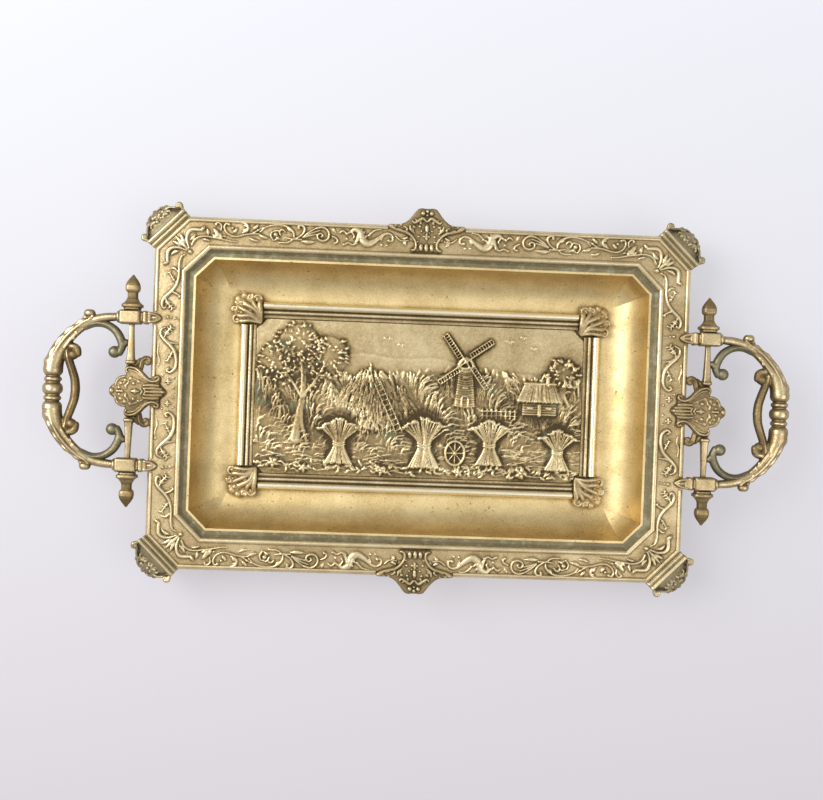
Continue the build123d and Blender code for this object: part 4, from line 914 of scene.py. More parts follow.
def rod(points, radii, flat=1.0, sides=14, steps=6):
    """A tube with rounded ends along a smooth path; flat scales its height."""
    path = smooth_path(points, steps)
    half = np.interp(np.linspace(0, 1, len(path)), np.linspace(0, 1, len(radii)), radii)
    along = np.gradient(path, axis=0)
    along /= np.linalg.norm(along, axis=1)[:, None]
    stations = list(zip(path, along, half))
    caps = [(math.sin(a), math.cos(a)) for a in np.radians((80, 55, 25))]

    def cap(end, side, out, share):
        """A smaller ring beyond one end, which rounds it off."""
        return path[end] + side * along[end] * half[end] * out, along[end], half[end] * share

    stations[:0] = [cap(0, -1, *one) for one in caps]
    stations += [cap(-1, 1, *one) for one in caps[::-1]]
    angles = np.linspace(0, 2 * math.pi, sides, endpoint=False)
    rings = []
    for centre, ahead, radius in stations:
        up = np.array((0, 0, 1.0)) if abs(ahead[2]) < 0.8 else np.array((1.0, 0, 0))
        side = np.cross(ahead, up)
        side /= np.linalg.norm(side)
        up = np.cross(side, ahead)
        rings.append([centre + radius * (math.cos(a) * side + flat * math.sin(a) * up) for a in angles])
    return slab(rings)


def ball(centre, radius, stretch=(1, 1, 1), count=12):
    """An ellipsoid."""
    rings = []
    for a in np.arange(1, count) * math.pi / count:
        turns = np.arange(2 * count) * math.pi / count
        ring = [(math.sin(a) * math.cos(b), math.sin(a) * math.sin(b), math.cos(a)) for b in turns]
        rings.append([np.array(centre) + radius * np.array(offset) * stretch for offset in ring])
    return slab(rings)


def lathe(profile, centre, axis, sides=40):
    """A turned form; the profile is (along, radius) pairs and the axis a unit vector."""
    axis = np.array(axis, float)
    side = np.cross(axis, (0, 0, 1.0))
    side /= np.linalg.norm(side)
    up = np.cross(side, axis)
    turns = np.linspace(0, 2 * math.pi, sides, endpoint=False)
    out = [math.cos(a) * side + math.sin(a) * up for a in turns]
    centre = np.array(centre)
    return slab([[centre + axis * along + radius * way for way in out] for along, radius in profile])


def chest(low, high, bevel):
    """A block with its edges bevelled."""
    rings = []
    for z, inset in ((low[2], bevel), (low[2] + bevel, 0), (high[2] - bevel, 0), (high[2], bevel)):
        x0, y0, x1, y1 = low[0] + inset, low[1] + inset, high[0] - inset, high[1] - inset
        cut = bevel * 0.8
        corners = [(x0 + cut, y0), (x1 - cut, y0), (x1, y0 + cut), (x1, y1 - cut)]
        corners += [(x1 - cut, y1), (x0 + cut, y1), (x0, y1 - cut), (x0, y0 + cut)]
        rings.append([(x, y, z) for x, y in corners])
    return slab(rings)


def squared(angle, power):
    """Cosine and sine, pushed out towards a square by a power below 1."""
    pair = (math.cos(angle), math.sin(angle))
    return [math.copysign(abs(value) ** share, value) for value, share in zip(pair, power)]


def squared_post(x, sections, roundness):
    """A form along Y at the handle's level: its sections are (y, half width, half height)."""
    rings = []
    for y, half_x, half_z in sections:
        turns = [squared(a, (roundness, roundness)) for a in np.linspace(0, 2 * math.pi, 32, endpoint=False)]
        rings.append([(x + half_x * across, y, handle_level + half_z * up) for across, up in turns])
    return slab(rings)


def read(items, key, width, kind=np.float32):
    """A property of mesh elements as an array of rows."""
    values = np.empty(len(items) * width, kind)
    items.foreach_get(key, values)
    return values.reshape(-1, width)


def cast(parts, voxel, ground=0.5, sharpness=1.0, painted_top_light=0.25):
    """Fuses closed overlapping forms into one casting; its level follows how far each point stands out and
    how far it faces up, wear mixed with painted highlight and shade.
    """
    points, faces = [], []
    for part_points, part_faces in parts:
        start = len(points)
        points += [tuple(p) for p in part_points]
        faces += [tuple(i + start for i in face) for face in part_faces]
    mesh = bpy.data.meshes.new("cast")
    mesh.from_pydata(points, [], faces)
    form = bpy.data.objects.new("cast", mesh)
    bpy.context.collection.objects.link(form)
    bm = bmesh.new()
    bm.from_mesh(mesh)
    bmesh.ops.recalc_face_normals(bm, faces=bm.faces)
    bm.to_mesh(mesh)
    bm.free()
    remesh = form.modifiers.new("fuse", "REMESH")
    remesh.mode = "VOXEL"
    remesh.voxel_size = voxel
    smooth = form.modifiers.new("soften", "SMOOTH")
    smooth.iterations = 1
    smooth.factor = 0.5
    fused = bpy.data.meshes.new_from_object(form.evaluated_get(bpy.context.evaluated_depsgraph_get()))
    bpy.data.objects.remove(form)
    count = len(fused.vertices)
    co = read(fused.vertices, "co", 3).astype(float)
    normal = read(fused.vertices, "normal", 3)
    pairs = read(fused.edges, "vertices", 2, np.int32)
    if not (read(fused.polygons, "loop_total", 1, np.int32) == 4).all():
        raise ValueError("the remesh left faces that have other than four corners")
    quads = read(fused.loops, "vertex_index", 1, np.int32).reshape(-1, 4)
    wear_and_shading = np.full(count, ground)
    # Points that stand out are made brighter, as wear and as a painted highlight, and recessed points darker,
    # as patina and as painted shade.
    for reach, weight in ((0.9, 1.1), (2.2, 0.35)):
        mean = co.copy()
        for _ in range(int(reach / voxel)):
            gathered = np.zeros_like(mean)
            share = np.zeros(count)
            for a, b in ((0, 1), (1, 0)):
                for axis in range(3):
                    gathered[:, axis] += np.bincount(pairs[:, a], mean[pairs[:, b], axis], count)
                share += np.bincount(pairs[:, a], minlength=count)
            mean = 0.4 * mean + 0.6 * gathered / np.maximum(share, 1)[:, None]
        wear_and_shading += sharpness * weight * ((co - mean) * normal).sum(1)
    # Painted light: faces turned up are lighter, sides darker and undersides darkest.
    wear_and_shading += painted_top_light * (np.clip(normal[:, 2], -0.5, 1) - 0.7)
    bpy.data.meshes.remove(fused)
    return co, quads, wear_and_shading


def add_grips():
    """Two tapered arms with a leaf along each, meeting at a turned baluster, and scrolls in the loop."""
    low, high = box_mm("handle_grip_right")
    grip_x = high[0] - 6.2
    parts = []
    curls = []
    arm = [(193.6, 47.1), (202.3, 46.2), (210.4, 43.9), (218.3, 39.6), (225.4, 33.2), (230.3, 25.6)]
    arm += [(233.2, 18), (234.2, 12.6)]
    rib = [(213, 44.2, 3.0), (220, 38.8, 3.7), (226.6, 31.6, 4.4), (231.6, 23.4, 5.0), (233.8, 17.6, 5.2)]
    inner = [(216, 38.2, 2.4), (222, 32.6, 2.8), (226.4, 26.4, 3.2), (228.6, 21.4, 2.8)]
    curl = [(215.4, 39.6), (208.6, 42.2), (201.8, 41.8), (196, 38.4)]
    curl += [(192.6, 33.4), (191.4, 28.4), (192.8, 24.2)]
    hook = [(229.6, 20.4), (227.2, 24.8), (223.6, 27), (219.9, 25.9), (218.9, 22.6)]
    stem = [(225.6, 24.6), (224.6, 19), (222.2, 12), (220.4, 6), (219.8, 0)]
    knuckle = [(215.6, 45.4), (213.4, 47.6), (210.4, 47)]
    vein = [(209.4, 47), (213, 43.8), (217.6, 41.4), (221.2, 37.4), (223, 33.4)]
    lobes = (
        ([(211.6, 44.4), (217, 43.2), (221.6, 39.2)], 2.4),
        ([(218.2, 40.8), (224, 37.8), (227.8, 32.6)], 3.0),
        ([(224, 35.6), (229.8, 30.8), (232.8, 25)], 3.6),
        ([(229, 29), (234, 23.4), (235.4, 18.2)], 4.0),
    )
    berries = ((219.4, 35.6, 1.5), (221.4, 32.4, 1.3), (224.4, 30.6, 1.5), (226.6, 26.6, 1.3))
    collar = [(-0.4, 3.6), (0.6, 4.0), (1.6, 3.6), (2.0, 2.6)]
    for sign in (-1, 1):

        def at(x, y, lift=0.0):
            return (x, sign * y, handle_level + lift)

        def side(points, lift=0.0):
            return [at(*point) if len(point) > 2 else at(*point, lift) for point in points]

        parts += [
            rod(side(arm), [2.5, 2.9, 3.2, 3.6, 4.2, 5.0, 5.7, 6.0], sides=24),
            rod(side(rib), [0.5, 0.9, 1.0, 0.9, 0.4]),
            rod(side(inner), [0.5, 1.0, 1.1, 0.5]),
            ball(at(212.4, 48.6), 3.2, (1.15, 0.9, 0.95)),
            rod(side(knuckle), [1.4, 1.7, 1.3]),
            rod(side(hook), [2.2, 2.6, 2.7, 2.5, 2.2]),
            ball(at(221.8, 22.0), 3.3, (1, 1, 0.95)),
            rod(side(stem), [2.4, 2.6, 2.7, 2.8, 2.9]),
            rod(side(stem, 2.2), [0.6, 0.8, 0.8, 0.7]),
            rod(side(vein, 3.1), [0.6, 0.8, 0.8, 0.5]),
            ball(at(234.3, 16.4), 5.7, (1.02, 1, 1)),
            lathe(collar, at(193.2, 47.1), (1, 0, 0)),
        ]
        for path, lift in lobes:
            parts.append(rod(side(path, lift), [0.6, 1.6, 0.9], 0.8))
            parts.append(rod(side([(x - 0.8, y - 0.8) for x, y in path], lift + 0.9), [0.3, 0.5, 0.4]))
        parts += [ball(at(x, y, 2.6), radius, (0.9, 1.2, 0.9)) for x, y, radius in berries]
        curls += [
            rod(side(curl), [2.2, 2.3, 2.5, 2.7, 2.8, 2.6, 2.3]),
            rod(side(curl, 1.9), [0.7, 0.8, 0.8, 0.7]),
            ball(at(196.0, 24.6), 3.9, (1, 1, 0.85)),
            rod(side([(188.9, 30.9), (190.6, 29.8)]), [2.2, 2.8]),
        ]
    half = [(0.0, 6.2), (1.6, 6.05), (2.8, 5.4), (3.4, 4.4), (4.7, 4.2), (4.9, 4.9), (5.6, 5.4), (6.5, 5.4)]
    half += [(7.2, 4.9), (7.4, 4.2), (8.4, 4.1), (8.8, 5.0), (10.2, 5.9), (12.6, 6.1)]
    profile = [(-y, r) for y, r in half[:0:-1]] + half
    parts.append(lathe(profile, (grip_x, 0, handle_level), (0, 1, 0)))
    points, quads, wear_and_shading = cast(parts, 0.42, 0.55, 1.5, 0.6)
    points = np.clip(points, low + 0.02, high - 0.02)
    stems = (np.abs(points[:, 1]) < 27) & (points[:, 0] < 226.5 - 0.06 * np.abs(points[:, 1]))
    shape = (points, quads, wear_and_shading - np.where(stems, 0.32, 0))
    # Bright on the crests and dark at the sides and in the hollows, partly rubbed and partly painted light.
    material = brass(
        "handle_brass_rubbed_and_shaded",
        bright=(0.80, 0.66, 0.40, 1),
        middle=(0.34, 0.235, 0.105, 1),
        dark=(0.085, 0.060, 0.034, 1),
        verdigris=0.5,
        polish=0.24,
        grime_and_shade=4.0,
    )
    add_copies(shape, "handle_grip", material, SIDES)
    dull = brass(
        "handle_brass_dulled",
        bright=(0.40, 0.35, 0.22, 1),
        middle=(0.20, 0.175, 0.105, 1),
        dark=(0.075, 0.068, 0.045, 1),
        verdigris=0.6,
        polish=0.42,
    )
    shape = cast(curls, 0.42, 0.5, 1.2, 0.35)
    for ending, flip_x, flip_y in SIDES:
        mesh = grid_mesh(f"grip_curls_{ending}", *flipped(shape, flip_x, flip_y))
        finish_piece(f"carved_grip_curls_{ending}", mesh, dull)


def add_feet():
    """A splayed bracket: strip moulding, two volutes, and a shield with a mask over a scrolled toe.

    Places are how far out from the middle of the cut corner, how far along it, and how far below the rim.
    """
    middle_x, middle_y = half_length - corner_cut / 2, half_width - corner_cut / 2
    diagonal = math.sqrt(0.5)
    foot_on_floor = -0.4  # the leg starts below the floor and is cut off level with it

    def at(out, along, drop):
        z = rim_top - drop
        return (middle_x + (out + along) * diagonal, middle_y + (out - along) * diagonal, z)

    def across(out, half, drop):
        return [at(out, v, drop) for v in np.linspace(-half, half, 4)]

    leg = [(foot_on_floor, 7.4, 17.6, 6.3), (4, 7.4, 17.3, 5.6), (9, 7.3, 14.2, 4.8), (14, 7.6, 13.0, 4.3)]
    leg += [(20, 7.4, 14.0, 5.0), (24, 6.6, 17.0, 6.6), (28, 4.5, 17.6, 8.6), (32, 3.0, 15.6, 10.6)]
    leg += [(35, 2.4, 12.6, 12.0), (38, 2.0, 7.0, 12.9)]
    sections = []
    for z, back, front, half in leg:
        turns = [squared(a, (0.7, 0.55)) for a in np.linspace(0, 2 * math.pi, 28, endpoint=False)]
        centre, deep = (back + front) / 2, (front - back) / 2
        sections.append([at(centre + bow * deep, run * half, rim_top - z) for bow, run in turns])
    parts = [slab(sections)]
    for low_out, high_out, low_drop, high_drop, half in (
        (-13.0, 3.6, 10, 5.15, 14.0),
        (0.2, 3.5, 9, 2.4, 15.4),
        (3.3, 6.2, 6, 1.0, 15.6),
    ):
        corners = [(low_out, -half), (high_out, -half), (high_out, half), (low_out, half)]
        parts.append(slab([[at(w, v, drop) for w, v in corners] for drop in (low_drop, high_drop)]))
    parts += [
        rod(across(4.8, 14.6, 1.25), [1.3, 1.3]),
        rod(across(1.9, 14.6, 2.5), [0.9, 0.9]),
        rod(across(17.2, 4.6, 37.5), [1.8, 1.8]),
        rod([at(11.2, 0, 4.4), at(15.0, 0, 6.6), at(18.4, 0, 11.4)], [0.8, 1.2, 1.5]),
        rod([at(18.0, 0, 15.1), at(14.4, 0, 25.1), at(17.4, 0, 36.1)], [1.3, 1.0, 1.4]),
        ball(at(19.0, 0, 12.2), 1.7),
    ]
    rods = (
        ([(7.0, 15.2, 1.9), (9.2, 16.2, 1.8), (10.6, 14.8, 1.9)], [1.2, 1.3, 1.1]),
        ([(6.0, 13.6, 3.0), (8, 12.8, 4.0), (11.4, 10.9, 6.2)], [0.8, 0.8, 0.7]),
        ([(11.4, 10.9, 6.2), (13.6, 9.4, 8.0), (16.2, 7.8, 10.4)], [0.7, 1.0, 1.7]),
        ([(10.4, 2.6, 4.2), (11.4, 5.6, 5.2), (13.4, 7.4, 7.4)], [0.6, 0.9, 0.6]),
        ([(14.6, 6.0, 8.2), (16.6, 7.4, 12), (14.6, 5.6, 17)], [0.8, 1.1, 0.6]),
        ([(16.8, 2.4, 18.1), (13.6, 3.4, 26.1), (15.4, 4.4, 34.1)], [0.9, 0.7, 0.9]),
        ([(8.4, 13.2, 2.2), (10.6, 11.8, 3.0), (13.2, 9.4, 4.6), (14.6, 6.8, 5.6), (16.4, 6.2, 7.6)], None),
        ([(11.0, 8.2, 3.6), (12.8, 6.2, 4.4), (12.2, 3.4, 4.2), (10.6, 2.2, 3.6)], None),
        ([(16.4, 6.2, 7.6), (18.2, 4.4, 9.4), (18.0, 1.8, 9.6), (16.4, 1.2, 7.8)], None),
    )
    balls = (
        (8.9, 14.8, 2.4, 1.7, 1),
        (12.2, 4.9, 5.2, 1.55, 1),
        (15.2, 3.2, 7.4, 1.9, 1),
        (17.4, 5.2, 11.0, 1.8, 1),
        (13.4, 1.7, 5.6, 0.9, 1),
        (17.0, 5.0, 37.9, 2.4, 0.95),
        (9.4, 15.0, 2.6, 2.4, 0.55),
    )
    for sign in (-1, 1):
        for path, radii in rods:
            points = [at(out, sign * v, drop) for out, v, drop in path]
            parts.append(rod(points, radii or [0.6, 0.8, 0.9, 0.7]))
        for out, along, drop, radius, flat in balls:
            parts.append(ball(at(out, sign * along, drop), radius, (1, 1, flat)))
        swirl = spiral((9.4, sign * 15.0), 1.9, 1.2 * sign, 90, 0.3, 10)
        parts.append(rod([at(w, v, 1.5) for w, v in swirl], [0.6, 0.55, 0.5], steps=3))
    lumps = [(166.8, 114, 1.3), (169.5, 115.5, 1.5), (171.5, 113.5, 1.6), (172.5, 108.7, 1.4)]
    lumps += [(174.5, 112, 1.4), (170.2, 111.4, 1.1), (176.5, 111.5, 1.3)]
    lumps += [(173.6, 115.4, 1.2), (175.8, 108.2, 1.1), (168.0, 117.0, 1.1)]
    for x, y, radius in lumps:
        out = (x - middle_x + y - middle_y) * diagonal
        parts.append(ball((x, y, rim_top - 3.4 - 0.09 * max(out - 9, 0) ** 2), radius, (1, 1, 0.9)))
    points, quads, wear_and_shading = cast(parts, 0.4, 0.5, 1.15, 0.2)
    points[:, 2] = np.maximum(points[:, 2], 0.0)
    out = (points[:, 0] - middle_x + points[:, 1] - middle_y) * diagonal
    strips = (out < 6.4) & (points[:, 2] > rim_top - 4)
    shape = (points, quads, wear_and_shading + np.where(strips, 0.14, 0))
    dark, middle = (0.10, 0.082, 0.05, 1), (0.37, 0.30, 0.17, 1)
    material = brass("foot_brass_carved", verdigris=0.3, dark=dark, middle=middle)
    add_copies(shape, "foot", material, QUARTERS)


def add_handle_bars():
    """Two bevelled blocks on a bar that widens to a bead, brackets, a leaf onto the rim, and finials."""
    bar_x, block_y = 185.6, 47.1
    parts = []
    blocks = (
        (179.7, 193.3, 42.6, 51.6, -4.4, 4.4, 1.0),
        (175.3, 178.5, 42.9, 51.3, -4.0, 4.0, 0.9),
        (173.0, 181.0, 43.9, 50.3, -3.0, 3.0, 0.8),
        (182.6, 188.6, -0.5, 17.6, -2.7, -0.3, 0.4),
    )
    shaft = ((44.5, 1.7), (41.6, 1.6), (36, 1.7), (27, 2.1), (22.4, 2.3), (19.3, 2.7))
    ring = ((19.4, 2.6), (19, 3.2), (17.9, 3.2), (17.4, 2.8))
    bracket = [(180.4, 12.6), (179.6, 16), (178.8, 19.4), (176.4, 21.4), (173.9, 20.4), (174.4, 18.2)]
    for sign in (-1, 1):

        def at(x, y, lift):
            return (x, sign * y, handle_level + lift)

        for x0, x1, y0, y1, z0, z1, bevel in blocks:
            low_y, high_y = sorted((sign * y0, sign * y1))
            parts.append(chest((x0, low_y, handle_level + z0), (x1, high_y, handle_level + z1), bevel))
        for sections, roundness in ((shaft, 0.45), (ring, 0.5)):
            parts.append(squared_post(bar_x, [(sign * y, r, r) for y, r in sections], roundness))
        parts += [
            rod([at(x, y, -1.6) for x, y in bracket], [1.9, 2.1, 2.0, 1.7, 1.5, 1.4], 0.8),
            rod([at(x, y, -0.2) for x, y in bracket[:4]], [0.5, 0.7, 0.7, 0.5]),
            rod([at(184.0, 15.4, -1.8), at(182.2, 18, -1.8), at(180.2, 20.6, -2)], [1.9, 1.7, 1.0]),
            ball(at(175.4, 18.4, -1.4), 1.8, (1, 1, 0.7)),
            ball((170.8, sign * block_y, band_level + 0.4), 3.1, (1.3, 0.95, 0.62)),
            rod([at(173, block_y, 1.4), at(169.6, block_y, 1.9)], [0.8, 0.6]),
        ]
        for lean in (-1, 1):
            vein = [at(174.2, block_y + lean * 2.7, 2.2), at(170.6, block_y + lean * 2.0, 1.7)]
            parts.append(rod(vein + [at(167.2, block_y, 0.6)], [1.1, 1.0, 0.6]))
    points, quads, wear_and_shading = cast(parts, 0.34, 0.54, 1.1, 0.35)
    near_shield = (np.abs(points[:, 1]) < 23) & (points[:, 0] < 182.4)
    shape = (points, quads, wear_and_shading - np.where(near_shield, 0.22, 0))
    bright, middle = (0.74, 0.60, 0.36, 1), (0.34, 0.245, 0.115, 1)
    material = brass("fitting_brass_cast", bright=bright, middle=middle, verdigris=0.4, polish=0.28)
    add_copies(shape, "handle_bar", material, SIDES)

    profile = [(51.8, 5.2), (53.2, 5.2), (53.4, 6.4), (55.0, 6.6), (55.3, 6.1), (56.4, 4.7)]
    profile += [(58.4, 3.5), (59.4, 3.1), (62.8, 3.1), (63.2, 3.8), (64.4, 4.4), (66.6, 4.5)]
    profile += [(68.6, 4.0), (70.6, 2.9), (72.6, 1.4), (74.1, 0.5)]
    post = squared_post(bar_x, [(y, r, r * 0.79) for y, r in profile], 0.5)
    points, quads, wear_and_shading = cast([post], 0.3)
    along = points[:, 1]
    wear_and_shading = wear_and_shading - 0.06 - np.where(along > 67, 0.2, 0) - np.where(np.abs(along - 60.4) < 2.2, 0.25, 0)
    add_copies((points, quads, wear_and_shading), "finial", material, QUARTERS)


def add_corner_bosses():
    """A crumpled leaf that opens outwards over each corner of the panel's frame."""
    low, high = box_mm("panel_corner_back_right")
    middle_x, middle_y = (low + high)[:2] / 2
    base = low[2]
    root = np.array((low[0] + 1.4, low[1] + 1.4, base + 5.0))
    lobes = ((4, 17.4, 1.5, 0.6), (20, 19.2, 1.9, 1.6), (36, 21.6, 1.7, 0.9), (53, 21.8, 2.0, 1.9))
    lobes += ((70, 19, 1.6, 1.0), (86, 17.2, 1.8, 0.4))
    swirls = ((-7.0, 6.4, 3.0, 20), (6.8, -6.6, 3.0, 250), (-1.5, 8.0, 2.0, 140), (8.2, -0.6, 2.0, 330))
    lumps = ((-2.4, -1.0, 6.8, 1.3), (1.6, 2.4, 7.1, 1.5), (4.6, 4.0, 6.0, 1.4), (-3.6, 3.8, 6.2, 1.3))
    lumps += ((3.8, -3.0, 6.4, 1.2),)
    parts = [
        ball((middle_x + 0.6, middle_y + 0.6, base + 2.6), 9.6, (1, 1, 0.42)),
        ball((middle_x + 6.2, middle_y + 6.2, base + 3.4), 3.4, (1, 1, 0.8)),
        chest((low[0] + 0.6, low[1] + 0.6, base), (high[0] - 2.4, high[1] - 2.4, base + 3.4), 1.6),
    ]
    for angle, length, width, bow in lobes:
        a = math.radians(angle)
        ahead = np.array((math.cos(a), math.sin(a), 0))
        side = np.array((-math.sin(a), math.cos(a), 0)) * bow
        path = [
            root + ahead * 0.5,
            root + ahead * length * 0.4 + side + (0, 0, 1.6),
            root + ahead * length * 0.75 - side * 0.6 + (0, 0, 1.0),
            root + ahead * length + (0, 0, -1.9),
        ]
        parts.append(rod(path, [0.9, width * 0.8, width, width * 0.8], 0.85))
        tip = root + ahead * (length - 0.6) + side * 0.8 + (0, 0, -0.9)
        parts.append(ball(tip, width * 1.15, (1, 1, 0.8)))
    for x, y, radius, turn in swirls:
        swirl = spiral((middle_x + x, middle_y + y), radius, 1.1, turn, 0.25, 9)
        parts.append(rod([(px, py, base + 5.2) for px, py in swirl], [1.0, 0.9, 0.8], steps=3))
    for x, y, z, radius in lumps:
        parts.append(ball((middle_x + x, middle_y + y, base + z - 0.6), radius, (1.3, 0.9, 0.8)))
    shape = cast(parts, 0.32, 0.54, 1.8)
    shape[0][:, 2] = np.maximum(shape[0][:, 2], base + 0.05)
    material = brass("boss_brass_carved", verdigris=0.25, grime_and_shade=2.0)
    add_copies(shape, "panel_corner", material, QUARTERS)


def add_panel_frame():
    """Four moulded bars: a bright half-round outside, a groove, and two fillets towards the panel.

    The profile's rows are how far out from the bar's inner edge, how high, and how bright, wear mixed with
    painted light: grooves partly painted shade, the half-round a painted highlight along its top.
    """
    profile = [(0.1, 0.4, 0.2), (0.1, 2.7, 0.4), (0.5, 2.9, 0.55), (1.9, 2.9, 0.4)]
    profile += [(2.3, 2.6, 0.1), (2.6, 2.6, 0.1), (2.9, 3.4, 0.4), (3.3, 3.8, 0.66)]
    profile += [(4.2, 3.9, 0.7), (4.8, 3.6, 0.5), (5.1, 2.9, 0.1), (5.5, 2.7, 0.05)]
    profile += [(5.8, 3.2, 0.4)]
    # The half-round is made lighter towards its top, a painted highlight.
    for a in np.radians(np.linspace(160, 20, 9)):
        profile.append((8.3 + 2.43 * math.cos(a), 3.0 + 2.4 * math.sin(a), 0.6 + 0.5 * math.sin(a)))
    profile += [(10.7, 2.4, 0.3), (10.72, 0.1, 0.1)]
    count = len(profile)
    rng = np.random.default_rng(4)
    bright = (0.90, 0.80, 0.56, 1)
    material = brass("panel_frame_brass_drawn", bright=bright, verdigris=0.2, polish=0.3, grime_and_shade=1.2)
    for ending, turn in (("back", 90), ("left", 180), ("front", 270), ("right", 0)):
        low, high = box_mm(f"panel_moulding_{ending}")
        spread_xy = (high - low)[:2]
        run = int(spread_xy[0] < spread_xy[1])
        stations = np.arange(-spread_xy[run] / 2, spread_xy[run] / 2 + 0.5, 1.5)
        stations[-1] = spread_xy[run] / 2
        dents = blur(0.09 * rng.standard_normal((len(stations), count)), 2)
        outward = np.array((math.cos(math.radians(turn)), math.sin(math.radians(turn))))
        ahead = np.array((-outward[1], outward[0]))
        inner = min(abs(low[1 - run]), abs(high[1 - run])) - 0.1
        points, wear_and_shading = [], []
        for station, dent in zip(stations, dents):
            for (across, tall, level), push in zip(profile, dent):
                x, y = outward * (inner + across) + ahead * station
                points.append((x, y, low[2] + tall + (push if tall > 1 else 0)))
                wear_and_shading.append(level + 2 * push)
        corner = (np.arange(len(stations) - 1)[:, None] * count + np.arange(count - 1)).ravel()
        quads = np.stack([corner, corner + 1, corner + count + 1, corner + count], 1)
        mesh = grid_mesh(f"panel_frame_{ending}", np.array(points), quads, np.array(wear_and_shading))
        replaced = (f"panel_moulding_{ending}",)
        finish_piece(f"panel_frame_{ending}", mesh, material, replaced)


# ---- The relief panel: a harvest landscape with no figures ----
def draw_tree(view, root, height, crowns, rng):
    """A spreading tree: a gnarled trunk under rounded masses of leaves."""
    x, y = root
    for cx, cy, radius in crowns:
        view.bead((cx, cy), radius, 1.15)
        view.clear((cx, cy), radius * 0.98, 0.8)

    def limb(points, widths, rise):
        path = [(x + aside, y + low + height * share) for aside, low, share in points]
        view.stroke(path, widths, rise, 0.2)

    limb([(-3, -1, 0), (-1, 0, 0.3), (1.8, 0, 0.55), (-1, 0, 0.8)], [4.2, 2.7, 2.2, 1.2], 1.7)
    limb([(4.4, -2, 0), (0.8, 0, 0.2), (1, 0, 0.4)], [1.2, 1.9, 1.3], 1.6)
    limb([(-7, -2, 0), (-2.6, 0, 0.12), (-1, 0, 0.3)], [0.8, 1.5, 1.3], 1.6)
    fork = (x + 0.6, y + height * 0.5)
    for cx, cy, radius in crowns:
        view.stroke([fork, ((x + cx) / 2 + 1.5, (fork[1] + cy) / 2 - 1), (cx, cy)], [1.6, 1.2, 0.6], 1.8, 0.1)
    for cx, cy, radius in crowns:
        for _ in range(int(radius * 7)):
            angle, reach = rng.uniform(0, 2 * math.pi), rng.uniform(0.05, 1.08) ** 0.6
            leaf_x = cx + reach * radius * math.cos(angle)
            leaf_y = cy + reach * radius * math.sin(angle)
            turn = angle + rng.uniform(-1.0, 1.0)
            size = rng.uniform(2.2, 3.6)
            tip = (leaf_x + size * math.cos(turn), leaf_y + size * math.sin(turn))
            form = rng.uniform(0.75, 1.15), rng.uniform(1.2, 2.1), rng.uniform(-0.2, 0.2)
            view.leaf((leaf_x, leaf_y), tip, *form)


def draw_sheaf(view, root, height, rng):
    """Bound corn standing on its stalks, ears drooping outwards."""
    x, y = root
    view.clear((x, y + height * 0.25), height * 0.36, 0.35)
    view.clear((x, y + height * 0.75), height * 0.46, 0.35)
    for place in np.linspace(-1, 1, 44):
        lean = place + rng.uniform(-0.06, 0.06)
        foot = (x + lean * height * 0.29, y + rng.uniform(-0.6, 0.4))
        waist = (x + lean * height * 0.115, y + height * 0.44)
        ear = (x + lean * height * 0.38, y + height * (0.97 - 0.2 * abs(lean) + rng.uniform(-0.05, 0.02)))
        bulk = 0.8 * math.sqrt(max(1 - 0.8 * lean**2, 0))
        view.stroke([foot, waist, ear], [0.55, 0.42, 0.5], 1.1 + bulk + rng.uniform(-0.25, 0.25))
        drop = (ear[0] + lean * 3.6 + rng.uniform(-0.5, 0.5), ear[1] - 1.6 * abs(lean) + 1.2)
        view.leaf(ear, drop, 1.0, 1.3 + bulk + rng.uniform(-0.2, 0.3), 0.1)
    for level in (0.41, 0.46):
        half, ends = height * 0.13, y + height * level
        band = [(x - half, ends), (x, ends - height * 0.03), (x + half, ends)]
        view.stroke(band, [0.7, 0.9, 0.7], 2.35, 0.3)


def draw_rick(view, root, height, rng):
    """A thatched hay rick with a ladder leaning against it."""
    x, y = root
    for level in np.linspace(0.01, 0.98, 46):
        half = np.interp(level, (0.0, 0.42, 0.68, 0.92, 1.0), (0.5, 0.58, 0.42, 0.16, 0.0)) * height
        for _ in range(int(half * 1.1)):
            px = x + rng.uniform(-1, 1) * half
            py = y + level * height + rng.uniform(-0.8, 0.8)
            side = (px - x) / half
            aside = side * (2.6 if level > 0.42 else 0.5)
            fall = (px + aside + rng.uniform(-0.6, 0.6), py - rng.uniform(3.0, 5.5))
            bulk = 1.1 * math.sqrt(max(1 - side**2, 0))
            view.stroke([(px, py), fall], [0.45, 0.5], 0.9 + bulk * rng.uniform(0.65, 1.1), steps=2)
    eave = [(-0.6, 0.4), (0, 0.34), (0.6, 0.4)]
    eave = [(x + height * aside, y + height * up) for aside, up in eave]
    view.stroke(eave, [0.6, 1.0, 0.6], 2.0, 0.35)
    view.stroke([(x, y + height * 0.94), (x, y + height * 1.06)], [1.0, 0.5], 1.8)
    foot = np.array((x + height * 0.52, y - 4.0))
    top = np.array((x + height * 0.12, y + height * 0.74))
    across = np.array((1.9, 0.8))
    for sign in (-1, 1):
        view.stroke([foot + sign * across, top + sign * across], [0.5, 0.45], 2.5, steps=2)
    for share in np.linspace(0.06, 0.95, 10):
        rung = foot + (top - foot) * share
        view.stroke([rung - across, rung + across], [0.4, 0.4], 2.4, steps=2)


